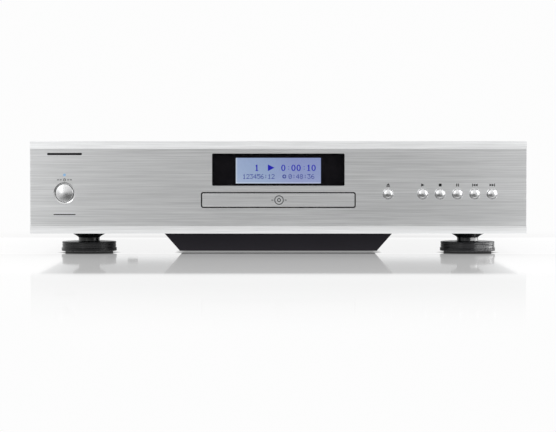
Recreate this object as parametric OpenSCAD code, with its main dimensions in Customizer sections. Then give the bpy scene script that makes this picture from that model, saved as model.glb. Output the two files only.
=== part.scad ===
// Full-width hi-fi CD player with a motorised disc tray, built as an assembly of separate parts.
// Millimetres. +X is to the right as seen from the front, +Y to the back, +Z up.
// The origin is under the middle of the player, on the surface that it stands on.

/* [Case] */
// Width of the faceplate, the widest part
body_w = 430; // [426:1:440]
// Depth from the tip of the power button to the tips of the rear jacks
body_d = 314; // [312:1:320]
// Height from the floor to the top of the faceplate
body_h = 98; // [98:1:102]
// Gap between the floor and the faceplate's lower edge
foot_h = 18; // [18:0.5:19]
// Thickness of the aluminium faceplate
plate_t = 8; // [8:0.5:9]
// Height of the sloped band along the faceplate's top and bottom
band_h = 6.6; // [4:0.2:8]
// How far the sloped bands fall back at the edges
band_fall = 1.9; // [1:0.1:3]
// Width of the steel case behind the faceplate
case_w = 424; // [420:1:424]
// Thickness of the cover's steel sheet
cover_t = 1; // [0.8:0.1:1.2]
// Thickness of the base pan, rear panel and front bracket
sheet_t = 1.2; // [1:0.1:1.4]

/* [Front] */
// Width of the display window
window_w = 114.6; // [110:0.2:118]
// Height of the display window
window_h = 27.9; // [26:0.1:29]
// Height of the window's middle above the floor
window_z = 73.4; // [72.8:0.1:74]
// Width of the lit part of the display
lcd_w = 73.8; // [70:0.2:80]
// Height of the lit part of the display
lcd_h = 22.2; // [20:0.1:24]
// Height of the lit part's middle above the floor
lcd_z = 72.5; // [72:0.1:73]
// Width of the tray's opening in the faceplate
slot_w = 134; // [133:0.2:136]
// Height of the tray's opening in the faceplate
slot_h = 13.8; // [13.4:0.1:14.2]
// Height of the tray opening's middle above the floor
slot_z = 47.1; // [46.9:0.1:47.3]
// Diameter of the power button
power_d = 15; // [14:0.2:16]
// Diameter of the small buttons
key_d = 7.8; // [7:0.1:8.4]
// Travel of the power button
power_travel = 1.5; // [1:0.1:1.5]
// Travel of the small buttons
key_travel = 0.9; // [0.5:0.1:0.9]

/* [Disc tray] */
// Width of the tray
tray_w = 130; // [129:0.2:130]
// How far the tray travels out
tray_travel = 138; // [130:1:138]
// Diameter of the disc well
well_d = 121; // [120.6:0.1:121.4]
// Module of the loading gears
load_module = 1; // [1:1:1]
// Angle by which the pickup unit is lowered when it is at rest
lower_deg = 3.6; // [3.4:0.1:3.6]
// Travel of the pickup sled
sled_travel = 35; // [30:1:35]
// Module of the sled's gears
feed_module = 0.8; // [0.8:0.1:0.8]

/* [Feet] */
// Diameter of a front foot's lower rim
foot_d = 48.6; // [44:0.2:50]
// Diameter of the plain rear feet
rear_foot_d = 18; // [16:0.5:22]
// Distance of the front feet's centres from the middle
foot_x = 167; // [160:1:170]
// Distance of the rear feet's centres from the middle
rear_foot_x = 188.5; // [180:0.5:190]
// Distance of the front feet's centres from the middle
front_foot_y = 119.5; // [115:0.5:120]
// Distance of the rear feet's centres from the middle
rear_foot_y = 112; // [105:0.5:118]

/* [Hidden] */

eps = 0.01;
fine = 96;
small = 48;

// How far buttons and jacks stand out of the case
power_proud = 2.5;
key_proud = 1.8;
jack_proud = 9;

face_y = -body_d / 2 + power_proud;      // front of the faceplate
back_y = face_y + plate_t;               // back of the faceplate
bracket_y = back_y + sheet_t;            // back of the front bracket
rear_y = body_d / 2 - jack_proud;        // outside of the rear panel
rear_in_y = rear_y - sheet_t;            // inside of the rear panel
case_x = case_w / 2;
inner_x = case_x - cover_t;              // inside of the cover's sides
cover_top = body_h - 1;
ceiling = cover_top - cover_t;           // underside of the cover
pan_z = foot_h + 0.8;                    // underside of the base pan
floor_z = pan_z + sheet_t;               // inside of the base pan

// Buttons: the power button and, from left to right, eject, play, stop, pause, previous, next
power_x = -185;
power_z = 53.2;
key_z = 52.5;
key_xs = [95, 125, 140, 155, 170, 185];
led_z = 68.8;
power_gap = 0.7;                         // gap between the power button and its hole
key_gap = 0.4;                           // gap between a small button and its hole
key_flange_d = 10.4;
power_flange_d = 18.6;

// The disc mechanism
disc_y = -80;                            // centre of the closed tray's disc
deck_top = 50.5;
deck_under = 46.5;
well_floor = 48.4;
tray_front = face_y + 3.6;
tray_rear = 18;
skirt_z = 42.5;
tray_gap = 0.6;                          // between the tray and the loader's walls
wall_t = 3;                              // loader's side walls
wall_x = tray_w / 2 + tray_gap;          // their inner faces
wall_top = 57.5;
loader_z = 33;                           // underside of the loader's floor
loader_floor = 35;
loader_front = -143;
loader_rear = 44;
slot_half = 21;                          // half width of the tray's opening for the pickup

// Loading gears
gear_y = -126;
drive_teeth = 28;
pinion_teeth = 12;
rack_x = -60.5;                          // pitch line of the tray's rack
drive_r = load_module * drive_teeth / 2;
pinion_r = load_module * pinion_teeth / 2;
drive_x = rack_x + drive_r + 0.05;
pulley_x = drive_x + drive_r + pinion_r + 0.1;
motor_x = 6;
gear_low = 42.6;
gear_high = 46;
pulley_low = 36.2;
pulley_high = 39.8;
pulley_groove_r = 9.6;
motor_groove_r = 3.4;

// Traverse, the tilting unit that carries the spindle and the pickup
hinge_y = 16;
hinge_z = 38;
pin_r = 2;
traverse_x = 47;
traverse_front = -106;
traverse_low = 37;
traverse_high = 40;
peg_x = 8;
peg_r = 1.5;
table_z = 51.5;                          // where the disc rests when the unit is raised
rod_z = 43;
rod_r = 1.5;
rod_xs = [-18, 16];
feed_teeth = 24;
feed_pinion_teeth = 12;
feed_rack_x = 26.2;
feed_r = feed_module * feed_teeth / 2;
feed_pinion_r = feed_module * feed_pinion_teeth / 2;
feed_x = feed_rack_x + feed_r + 0.05;
feed_y = -20;
feed_pinion_y = feed_y - feed_r - feed_pinion_r - 0.1;
feed_low = 41;
feed_high = 44;
slider_y = -110.8;                       // front of the lift slider
slider_t = 2;
slider_travel = 18;

// Rear connectors
inlet_x = -168;
inlet_z = 52;
jack_z = 50;
jack_r = 4.15;
jack_xs = [168, 148, 118];
serial_x = 82;
socket_xs = [60, 45];
socket_z = 40;

// ---------- Shared shapes ----------

// Corner points of a rectangle with round corners, centred on the origin
function round_rect(w, h, r, n = 6) = [
    for (c = [[1, 1, 0], [-1, 1, 90], [-1, -1, 180], [1, -1, 270]])
        for (i = [0:n])
            [c[0] * (w / 2 - r) + r * cos(c[2] + 90 * i / n),
             c[1] * (h / 2 - r) + r * sin(c[2] + 90 * i / n)]];

// A slab across Y: the outline lies in X and Z
module slab_y(w, h, r, y0, y1) {
    translate([0, y1, 0]) rotate([90, 0, 0]) linear_extrude(y1 - y0) polygon(round_rect(w, h, r));
}

// A rod along Y from y0 to y1
module rod_y(r, y0, y1, fn = small) {
    translate([0, y1, 0]) rotate([90, 0, 0]) cylinder(h = y1 - y0, r = r, $fn = fn);
}

// A cone or rod along Y, radius r0 at y0 and r1 at y1
module cone_y(r0, r1, y0, y1, fn = small) {
    translate([0, y1, 0]) rotate([90, 0, 0]) cylinder(h = y1 - y0, r1 = r1, r2 = r0, $fn = fn);
}

module box(x, y, z) {
    translate([x[0], y[0], z[0]]) cube([x[1] - x[0], y[1] - y[0], z[1] - z[0]]);
}

module both_sides() {
    children();
    mirror([1, 0, 0]) children();
}

// A pan-head screw along +Z: the head lies above z = 0
module screw(head_r, head_h, shank_r, shank_l) {
    difference() {
        union() {
            cylinder(h = head_h, r = head_r, $fn = small);
            translate([0, 0, -shank_l]) cylinder(h = shank_l + eps, r = shank_r, $fn = small);
        }
        for (turn = [0, 90])
            rotate(turn) translate([-head_r * 0.6, -0.35, head_h * 0.5])
                cube([head_r * 1.2, 0.7, head_h]);
    }
}

// Involute gear teeth with a little backlash
pressure = 20;
tooth_fill = 0.9;
tooth_up = 0.9;
tooth_down = 1.2;
flank_steps = 4;
function involute(a) = tan(a) * 180 / PI - a;
function half_tooth(r, pitch_r, teeth) =
    let (base_r = pitch_r * cos(pressure), a = acos(min(1, base_r / max(r, base_r))))
    90 / teeth * tooth_fill + involute(pressure) - involute(a);
function gear_points(teeth, size) =
    let (pitch_r = teeth * size / 2, low = pitch_r - tooth_down * size,
         start = max(low, pitch_r * cos(pressure)), top = pitch_r + tooth_up * size,
         radii = concat([low], [for (i = [0:flank_steps]) start + (top - start) * i / flank_steps]),
         last = len(radii) - 1)
    [for (k = [0:teeth - 1]) for (i = [0:2 * last + 1])
        let (rising = i <= last, r = radii[rising ? i : 2 * last + 1 - i],
             a = 360 * k / teeth + (rising ? -1 : 1) * half_tooth(r, pitch_r, teeth))
        [r * cos(a), r * sin(a)]];

// Rack teeth along Y that point to +X, with tooth 0 at y = 0
function rack_points(first, last, size, back) =
    let (pitch = PI * size, slope = tan(pressure), half = pitch / 4 * tooth_fill)
    concat([for (k = [first:last]) for (p = [[-tooth_down, -1], [tooth_up, -1], [tooth_up, 1],
                                            [-tooth_down, 1]])
        [p[0] * size, k * pitch + p[1] * (half - p[0] * size * slope)]],
        [[-tooth_down * size - back, last * pitch + half], [-tooth_down * size - back,
          first * pitch - half]]);

// Children are drawn in the raised position of the traverse and shown in its lowered rest
module lowered() {
    translate([0, hinge_y, hinge_z]) rotate([lower_deg, 0, 0])
        translate([0, -hinge_y, -hinge_z]) children();
}

// ---------- Front ----------

module front_panel() color("#c4c7c8") difference() {
    intersection() {
        translate([-body_w / 2, 0, 0]) rotate([90, 0, 90]) linear_extrude(body_w) polygon([
            [back_y, foot_h], [back_y, body_h], [face_y + band_fall, body_h],
            [face_y, body_h - band_h], [face_y, foot_h + band_h], [face_y + band_fall, foot_h]]);
        edge = 0.5;
        linear_extrude(body_h) polygon([
            [-body_w / 2, back_y], [-body_w / 2, face_y + edge], [-body_w / 2 + edge, face_y],
            [body_w / 2 - edge, face_y], [body_w / 2, face_y + edge], [body_w / 2, back_y]]);
    }
    translate([0, 0, window_z]) slab_y(window_w, window_h, 1, face_y - 1, back_y + 1);
    translate([0, 0, window_z]) slab_y(window_w + 7, window_h + 7, 2, face_y + 3.2, back_y + 1);
    translate([0, 0, slot_z]) slab_y(slot_w, slot_h, 1.8, face_y - 1, back_y + 1);
    button_hole(power_x, power_z, power_d / 2 + power_gap, 1.1, 0.4);
    for (x = key_xs) button_hole(x, key_z, key_d / 2 + key_gap, 0.5, 0.25);
    translate([power_x, 0, led_z]) rod_y(1.25, face_y - 1, back_y + 1);
    for (x = faceplate_screw_xs) for (z = faceplate_screw_zs)
        translate([x, 0, z]) rod_y(1.5, back_y - 5, back_y + 1);
}
faceplate_screw_xs = [-203, -110, 75, 203];
faceplate_screw_zs = [27, 91];

// A button's hole of radius r with a shallow bright countersink round its mouth
module button_hole(x, z, r, mouth, depth) translate([x, 0, z]) {
    rod_y(r, face_y - 1, back_y + 1);
    cone_y(r + mouth * (1 + 0.1 / depth), r, face_y - 0.1, face_y + depth);
}

module front_bracket() color("#8d9092") {
    difference() {
        box([-inner_x + 0.2, inner_x - 0.2], [back_y, bracket_y], [pan_z, ceiling - 0.2]);
        translate([0, 0, window_z]) slab_y(122, 34, 1, back_y - 1, bracket_y + 1);
        translate([0, 0, slot_z]) slab_y(135, 14.6, 1, back_y - 1, bracket_y + 1);
        translate([power_x, 0, power_z]) rod_y(power_flange_d / 2 + 0.5, back_y - 1, bracket_y + 1);
        for (x = key_xs)
            translate([x, 0, key_z]) rod_y(key_flange_d / 2 + 0.5, back_y - 1, bracket_y + 1);
        translate([power_x, 0, led_z]) rod_y(1.8, back_y - 1, bracket_y + 1);
        for (x = faceplate_screw_xs) for (z = faceplate_screw_zs)
            translate([x, 0, z]) rod_y(1.6, back_y - 1, bracket_y + 1);
    }
    for (x = [88, 192]) for (z = [41, 64])
        translate([x, 0, z]) rod_y(2.5, bracket_y, key_board_y);
    for (x = [-64, 64]) translate([x, 0, 86]) rod_y(2.5, bracket_y, display_board_y);
}
key_board_y = -135.2;
display_board_y = -141.7;

module display_window() color([0.1, 0.11, 0.13, 0.5]) translate([0, 0, window_z]) {
    slab_y(window_w - 0.3, window_h - 0.3, 0.9, face_y + 0.7, face_y + 3.3);
    slab_y(window_w + 6, window_h + 6, 1.6, face_y + 3.2, face_y + 5.2);
}

module display_mask() color("#0c0c0e") difference() {
    translate([0, 0, window_z])
        slab_y(window_w + 6, window_h + 6, 1.6, face_y + 5.2, face_y + 6);
    translate([0, 0, lcd_z]) slab_y(lcd_w, lcd_h, 0.3, face_y + 5, face_y + 7);
}

module lcd_module() {
    color("#9aa6e6") box([-41, 41], [face_y + 6, face_y + 8.2], [59.4, 87.4]);
    color("#b9bcbf") box([-42, 42], [face_y + 8.2, display_board_y], [58.8, 88]);
}

module display_board() color("#2f5b3c") {
    difference() {
        box([-68, 68], [display_board_y, display_board_y + 1.6], [58.8, 91]);
        for (x = [-64, 64]) translate([x, 0, 86]) rod_y(1.4, -145, -139);
    }
    box([46, 52], [back_y + 1, display_board_y], [69, 76]);
    box([-60, -40], [display_board_y + 1.6, display_board_y + 6], [66, 72]);
}

module power_led() color("#6ab7ff") translate([power_x, 0, led_z]) {
    rod_y(1.15, face_y - 0.2, back_y);
    rod_y(1.5, back_y, back_y + 8);
}

// A domed button on a guide flange and a stem, at the origin of X and Z
module domed_button(d, proud, flange_d, stem_d, stem_end, rim) {
    dome_h = proud - rim;
    r = d / 2;
    sphere_r = (r * r + dome_h * dome_h) / (2 * dome_h);
    arc_deg = asin(r / sphere_r);
    steps = 10;
    rotate([90, 0, 0]) rotate_extrude($fn = fine) polygon(concat(
        [[0, -back_y - 1.5], [r, -back_y - 1.5]],
        [for (i = [steps:-1:0]) [sphere_r * sin(arc_deg * i / steps),
            -face_y + proud - sphere_r + sphere_r * cos(arc_deg * i / steps)]]));
    rod_y(flange_d / 2, back_y + 0.2, back_y + 1.5);
    rod_y(stem_d / 2, back_y + 1.4, stem_end);
}

module power_button() color("#d5d7d8") translate([power_x, 0, power_z])
    domed_button(power_d, power_proud, power_flange_d, 6, switch_y - power_travel - 0.1, 0.5);
switch_y = -137.5;

module power_switch() {
    color("#17181a") translate([power_x, 0, power_z]) {
        rod_y(2.8, switch_y, switch_y + 3);
        box([-7, 7], [switch_y + 3, switch_y + 22], [-7, 7]);
    }
    color("#9a9da0") difference() {
        union() {
            box([power_x - 8, power_x + 8], [switch_y + 1.8, switch_y + 3], [floor_z, power_z + 8]);
            box([power_x - 8, power_x + 8], [switch_y + 3, switch_y + 16], [floor_z, floor_z + 1.2]);
        }
        translate([power_x, 0, power_z]) rod_y(2.8, switch_y, switch_y + 4);
    }
}

module key(index) color("#d5d7d8") translate([key_xs[index], 0, key_z])
    domed_button(key_d, key_proud, key_flange_d, 3.5, -140.1 - key_travel, 0.3);

module eject_button() key(0);
module play_button() key(1);
module stop_button() key(2);
module pause_button() key(3);
module previous_button() key(4);
module next_button() key(5);

module button_board() color("#2f5b3c") {
    difference() {
        box([84, 196], [key_board_y, key_board_y + 1.6], [38, 67]);
        for (x = [88, 192]) for (z = [41, 64]) translate([x, 0, z]) rod_y(1.4, -138, -132);
    }
    box([100, 116], [key_board_y + 1.6, key_board_y + 7], [42, 47]);
}

module tact_switches() color("#1b1c1e") for (x = key_xs) translate([x, 0, key_z]) {
    rod_y(1.7, -140, -138.6);
    box([-3, 3], [-138.6, key_board_y], [-3, 3]);
}

// The dark skirt under the middle of the faceplate, a shell that is open at the back
trim_y = -131.5;
trim_depth = 44;
trim_z = 2;
trim_top_half = 101.2;
trim_low_half = 86.4;
module trim_outline(inset) polygon([
    [-trim_top_half + inset * 1.4, pan_z + (inset > 0 ? 1 : 0)], [-trim_low_half + inset, trim_z + inset],
    [trim_low_half - inset, trim_z + inset],
    [trim_top_half - inset * 1.4, pan_z + (inset > 0 ? 1 : 0)]]);
module lower_trim() color("#1d1c20") {
    difference() {
        translate([0, trim_y + trim_depth, 0]) rotate([90, 0, 0])
            linear_extrude(trim_depth) trim_outline(0);
        translate([0, trim_y + trim_depth + 1, 0]) rotate([90, 0, 0])
            linear_extrude(trim_depth - 1.2) trim_outline(2.2);
    }
    for (x = [-60, 60]) translate([x, trim_y + 24, trim_z + 2])
        difference() {
            cylinder(h = pan_z - trim_z - 2, r = 4, $fn = small);
            translate([0, 0, 6]) cylinder(h = 20, r = 1.4, $fn = small);
        }
}

// ---------- Case ----------

foot_places = [[-foot_x, -front_foot_y], [foot_x, -front_foot_y], [-rear_foot_x, rear_foot_y],
    [rear_foot_x, rear_foot_y]];
side_screw_ys = [-95, 100];
side_screw_z = 28;
lip_screw_xs = [-150, 0, 150];
lip_screw_z = 91.5;
board_post_h = 6;
supply_posts = [[-198, -90], [-105, -90], [-198, -5], [-105, -5]];
main_posts = [[92, -54], [199, -54], [92, 118], [199, 118]];
transformer_at = [-142, 68];

module base_pan() color("#a9acae") difference() {
    union() {
        box([-inner_x, inner_x], [bracket_y, rear_in_y], [pan_z, floor_z]);
        both_sides() box([inner_x - sheet_t, inner_x], [bracket_y, rear_in_y], [floor_z - eps, 36]);
        for (p = concat(supply_posts, main_posts)) translate([p[0], p[1], floor_z - eps])
            cylinder(h = board_post_h + eps, r = 3, $fn = small);
    }
    for (p = foot_places) translate([p[0], p[1], pan_z - 1]) cylinder(h = 4, r = 2.1, $fn = small);
    for (x = [-60, 60]) translate([x, trim_y + 24, pan_z - 1]) cylinder(h = 4, r = 1.7, $fn = small);
    translate([transformer_at[0], transformer_at[1], pan_z - 1])
        cylinder(h = 4, r = 3.1, $fn = small);
    for (side = [-1, 1]) for (y = side_screw_ys) translate([side * inner_x, y, side_screw_z])
        rotate([0, 90, 0]) cylinder(h = 8, r = 2, center = true, $fn = small);
    for (x = [-30:10:30]) for (y = [70, 105])
        translate([x, y, pan_z - 1]) cube([3, 26, 4]);
}

module vent_slots() for (side = [-1, 1]) for (i = [0:13]) for (row = [0, 1])
    translate([side * (70 + 9 * i), -6 + 62 * row, ceiling - 1]) linear_extrude(4)
        polygon(round_rect(3, 48, 1.45, 5));

module top_cover() color("#b4b6b7") difference() {
    union() {
        box([-case_x, case_x], [back_y, rear_y + cover_t], [ceiling, cover_top]);
        both_sides() box([inner_x, case_x], [back_y, rear_y + cover_t], [floor_z, ceiling + eps]);
        box([-case_x, case_x], [rear_y, rear_y + cover_t], [86.5, ceiling + eps]);
    }
    for (side = [-1, 1]) for (y = side_screw_ys) translate([side * case_x, y, side_screw_z])
        rotate([0, 90, 0]) cylinder(h = 8, r = 2, center = true, $fn = small);
    for (x = lip_screw_xs) translate([x, 0, lip_screw_z]) rod_y(1.7, rear_y - 1, rear_y + 3);
    vent_slots();
}

module rear_panel() color("#2a2b2e") difference() {
    union() {
        box([-inner_x + 0.1, inner_x - 0.1], [rear_in_y, rear_y], [pan_z, ceiling - 0.1]);
        box([-inner_x + 0.1, inner_x - 0.1], [rear_in_y - 10, rear_in_y + eps],
            [ceiling - 0.1 - sheet_t, ceiling - 0.1]);
        both_sides() box([inner_x - 2 * sheet_t - 0.2, inner_x - sheet_t - 0.2],
            [rear_in_y - 10, rear_in_y + eps], [floor_z + 2, 80]);
    }
    translate([inlet_x, 0, inlet_z]) slab_y(28.2, 20.6, 2, rear_in_y - 1, rear_y + 1);
    for (x = jack_xs) translate([x, 0, jack_z]) rod_y(5.1, rear_in_y - 1, rear_y + 1);
    translate([serial_x, 0, socket_z]) slab_y(16.2, 13.8, 0.5, rear_in_y - 1, rear_y + 1);
    for (x = socket_xs) translate([x, 0, socket_z]) rod_y(4, rear_in_y - 1, rear_y + 1);
    for (x = lip_screw_xs) translate([x, 0, lip_screw_z]) rod_y(1.6, rear_in_y - 1, rear_y + 1);
    for (x = [-1, 1]) translate([inlet_x + x * 20, 0, inlet_z])
        rod_y(1.5, rear_in_y - 1, rear_y + 1);
    for (x = base_screw_xs) translate([x, 0, 26]) rod_y(1.6, rear_in_y - 1, rear_y + 1);
}
base_screw_xs = [-190, -60, 20, 190];

module case_screws() color("#1c1d1f") {
    for (side = [0, 1]) mirror([side, 0, 0]) for (y = side_screw_ys)
        translate([case_x, y, side_screw_z]) rotate([0, 90, 0]) screw(3.5, 2, 1.9, 4.6);
    for (x = lip_screw_xs) translate([x, rear_y + cover_t, lip_screw_z]) rotate([-90, 0, 0])
        screw(2.9, 1.8, 1.5, 6);
    for (x = base_screw_xs) translate([x, rear_y, 26]) rotate([-90, 0, 0])
        screw(2.9, 1.8, 1.5, 5);
    for (x = faceplate_screw_xs) for (z = faceplate_screw_zs) translate([x, bracket_y, z])
        rotate([-90, 0, 0]) screw(2.8, 1.8, 1.4, 5.4);
    for (x = [-1, 1]) translate([inlet_x + x * 20, rear_y + 2.5, inlet_z]) rotate([-90, 0, 0])
        screw(2.6, 1.4, 1.4, 6);
}

// ---------- Feet ----------

pad_h = 1.2;
neck_r = 9.3;
disc_top = 9.8;
flare_low = 13.4;
flare_high = 16.8;
flare_out = 5.4;
screw_head_z = pad_h + 2.5;
module front_foot(place) color("#141416") translate([foot_places[place][0], foot_places[place][1], 0])
    rotate_extrude($fn = fine) polygon(concat(
        [[2.4, screw_head_z], [5, screw_head_z], [5, pad_h], [21.6, pad_h], [21.8, pad_h + 0.3],
         [foot_d / 2 - 0.4, pad_h + 0.4], [foot_d / 2, pad_h + 0.8], [foot_d / 2, 4.3],
         [foot_d / 2 - 0.5, 4.6], [foot_d / 2 - 0.9, 4.8], [foot_d / 2 - 0.5, 5.1],
         [foot_d / 2 - 0.5, disc_top - 0.4], [foot_d / 2 - 0.9, disc_top],
         [neck_r + 0.5, disc_top], [neck_r, disc_top + 0.5]],
        [for (i = [0:6]) [neck_r + flare_out * pow(i / 6, 1.3),
            flare_low + (flare_high - flare_low) * i / 6]],
        [[neck_r + flare_out, pan_z], [2.4, pan_z]]));

module rear_foot(place) color("#141416")
    translate([foot_places[place][0], foot_places[place][1], 0]) rotate_extrude($fn = fine) polygon([
        [2.4, screw_head_z], [5, screw_head_z], [5, pad_h], [rear_foot_d / 2 - 0.9, pad_h],
        [rear_foot_d / 2 - 0.6, pad_h + 0.6], [rear_foot_d / 2, pan_z - 3], [rear_foot_d / 2, pan_z],
        [2.4, pan_z]]);

module front_left_foot() front_foot(0);
module front_right_foot() front_foot(1);
module rear_left_foot() rear_foot(2);
module rear_right_foot() rear_foot(3);

module foot_pads() color("#0b0b0c") for (i = [0:3])
    translate([foot_places[i][0], foot_places[i][1], 0]) difference() {
        front = i < 2;
        cylinder(h = pad_h, r = front ? 21 : rear_foot_d / 2 - 1, $fn = fine);
        translate([0, 0, -1]) cylinder(h = 4, r = front ? 8 : 5.2, $fn = small);
    }

module foot_screws() color("#8e9194") for (p = foot_places)
    translate([p[0], p[1], screw_head_z]) mirror([0, 0, 1]) screw(4.2, 2, 2, floor_z - pad_h);

// ---------- Disc tray ----------

module disc_tray() color("#1f2023") union() {
    difference() {
        union() {
            box([-tray_w / 2, tray_w / 2], [tray_front + 2, tray_rear], [deck_under, deck_top]);
            both_sides() box([tray_w / 2 - 3, tray_w / 2], [tray_front + 2, tray_rear],
                [skirt_z, deck_under + eps]);
            box([-63, 63], [tray_front, tray_front + 3], [skirt_z, 52.2]);
        }
        translate([0, disc_y, well_floor]) cylinder(h = 9, r = well_d / 2, $fn = fine);
        translate([0, disc_y, well_floor - 0.9]) cylinder(h = 9, r = 40.6, $fn = fine);
        box([-slot_half, slot_half], [disc_y, tray_rear + 1], [deck_under - 1, deck_top + 1]);
        translate([0, disc_y, deck_under - 1]) cylinder(h = 9, r = slot_half, $fn = fine);
        for (side = [-1, 1]) translate([side * 49, disc_y - 52, well_floor - 0.9])
            cylinder(h = 9, r = 9, $fn = small);
    }
    translate([rack_x, gear_y, gear_low]) linear_extrude(deck_under - gear_low + eps)
        polygon(rack_points(-1, 45, load_module, 0.4));
}

module tray_door() color("#cbced0") difference() {
    translate([0, 0, slot_z]) slab_y(slot_w - 2.2, slot_h - 2.1, 1.2, face_y - 0.3, tray_front);
    translate([0, 0, slot_z]) slab_y(100, 5, 1, tray_front - 1.2, tray_front + 1);
}

// ---------- Loader ----------

stand_x = 76;
ear_ys = [-128, 30];
module loader_frame() color("#2b2c30") difference() {
    union() {
        difference() {
            box([-wall_x - wall_t, wall_x + wall_t], [loader_front, loader_rear],
                [loader_z, loader_floor]);
            box([-50, 50], [slider_y - 0.3, 26], [loader_z - 1, loader_floor + 1]);
        }
        both_sides() {
            box([wall_x, wall_x + wall_t], [loader_front, loader_rear], [loader_z, wall_top]);
            box([tray_w / 2 - 2.8, wall_x + eps], [loader_front, loader_rear], [40, skirt_z - 0.3]);
            for (y = [loader_front, -38]) box([tray_w / 2 - 3, wall_x + eps], [y, y + 16],
                [deck_top + 0.3, deck_top + 2]);
            for (y = ear_ys) box([wall_x + wall_t - eps, stand_x + 1], [y - 6, y + 6],
                [loader_z, loader_z + 3]);
            box([traverse_x + 0.6, 56], [hinge_y - 5, hinge_y + 5], [loader_z, hinge_z + 4.5]);
            box([50 - eps, 56], [hinge_y - 5, hinge_y + 5], [loader_z, loader_floor]);
        }
        box([-wall_x - wall_t, wall_x + wall_t], [loader_rear - 3, loader_rear],
            [loader_z, 40]);
        // Rail under the lift slider, hung from the floor
        box([-22, 40], [slider_y - 2.8, slider_y - 0.3], [24, loader_floor]);
        box([-22, 40], [slider_y - 0.4, slider_y + slider_t], [24, 27.2]);
        // Posts for the gears
        translate([drive_x, gear_y, loader_floor - eps]) cylinder(h = 11.2, r = 2, $fn = small);
        translate([pulley_x, gear_y, loader_floor - eps]) cylinder(h = 11.2, r = 1.5, $fn = small);
    }
    translate([motor_x, gear_y, loader_z - 1]) cylinder(h = 4, r = 3.5, $fn = small);
    both_sides() {
        translate([traverse_x - 5, hinge_y, hinge_z]) rotate([0, 90, 0])
            cylinder(h = 20, r = pin_r + 0.05, $fn = small);
        for (y = ear_ys) translate([stand_x - 3.4, y, loader_z - 1])
            cylinder(h = 6, r = 1.8, $fn = small);
        for (y = bridge_screw_ys) translate([wall_x + wall_t / 2, y, wall_top - 7])
            cylinder(h = 9, r = 0.9, $fn = small);
    }
}
bridge_screw_ys = [disc_y - 14, disc_y + 14];

module mechanism_stands() color("#a9acae") both_sides() difference() {
    union() {
        box([stand_x - 6.6, stand_x + 1.2], [-138, 40], [loader_z - 1.2, loader_z]);
        box([stand_x, stand_x + 1.2], [-138, 40], [floor_z, loader_z - eps]);
        box([stand_x, stand_x + 12], [-138, 40], [floor_z, floor_z + 1.2]);
    }
    for (y = ear_ys) {
        translate([stand_x - 3.4, y, loader_z - 3]) cylinder(h = 6, r = 1.8, $fn = small);
        translate([stand_x + 7, y + 20, floor_z - 1]) cylinder(h = 6, r = 1.8, $fn = small);
    }
}

module mechanism_screws() color("#8e9194") {
    both_sides() for (y = ear_ys) translate([stand_x - 3.4, y, loader_z + 3])
        screw(2.9, 1.6, 1.5, 5.5);
    both_sides() for (y = bridge_screw_ys)
        translate([wall_x + wall_t / 2, y, wall_top + 1.2]) screw(2.2, 1.3, 0.8, 6);
}

module clamp_bridge() color("#a9acae") difference() {
    union() {
        box([-wall_x - wall_t, wall_x + wall_t], [disc_y - 19, disc_y + 19],
            [wall_top, wall_top + 1.2]);
        for (y = [disc_y - 19, disc_y + 17.8])
            box([-58, 58], [y, y + 1.2], [wall_top + 1.2 - eps, wall_top + 4]);
    }
    translate([0, disc_y, wall_top - 1]) cylinder(h = 4, r = 9.8, $fn = small);
    both_sides() for (y = bridge_screw_ys) translate([wall_x + wall_t / 2, y, wall_top - 1])
        cylinder(h = 4, r = 1, $fn = small);
}

module disc_clamp() color("#3a3b3f") translate([0, disc_y, 0]) rotate_extrude($fn = fine) polygon([
    [0, 56], [8.6, 56], [8.6, 52.8], [13, 52.8], [15, 53.6], [15, 55], [9.2, 55.6], [9.2, 59],
    [12, 59], [12, 60.4], [11, 61], [0, 61]]);

module gear_body(teeth, size, low, high, bore_r) difference() {
    translate([0, 0, low]) linear_extrude(high - low) polygon(gear_points(teeth, size));
    translate([0, 0, low - 1]) cylinder(h = high - low + 2, r = bore_r, $fn = small);
}

// A grooved pulley for the square belt
module pulley(rim_r, groove_r, low, high) {
    middle = (low + high) / 2;
    rotate_extrude($fn = fine) polygon([
        [0, low], [rim_r, low], [rim_r, middle - 0.9], [groove_r, middle - 0.9],
        [groove_r, middle + 0.9], [rim_r, middle + 0.9], [rim_r, high], [0, high]]);
}

module drive_gear() color("#e6e3d8") translate([drive_x, gear_y, 0]) {
    rotate(180 + 180 / drive_teeth)
        gear_body(drive_teeth, load_module, gear_low, gear_high, 2.05);
    difference() {
        translate([0, 0, loader_floor + 0.2])
            cylinder(h = gear_low - loader_floor - 0.2, r = 4, $fn = small);
        translate([0, 0, loader_floor - 1]) cylinder(h = 12, r = 2.05, $fn = small);
    }
}

module pulley_gear() color("#e6e3d8") translate([pulley_x, gear_y, 0]) {
    gear_body(pinion_teeth, load_module, gear_low, gear_high, 1.55);
    difference() {
        union() {
            pulley(pulley_groove_r + 1.4, pulley_groove_r, pulley_low, pulley_high);
            translate([0, 0, pulley_high - eps])
                cylinder(h = gear_low - pulley_high + eps, r = 4.2, $fn = small);
        }
        translate([0, 0, pulley_low - 1]) cylinder(h = 12, r = 1.55, $fn = small);
    }
}

module motor_pulley() color("#c9b26b") translate([motor_x, gear_y, 0]) {
    pulley(motor_groove_r + 1.2, motor_groove_r, pulley_low, pulley_high);
    translate([0, 0, loader_z + 0.2]) cylinder(h = 4, r = 1, $fn = small);
}

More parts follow.
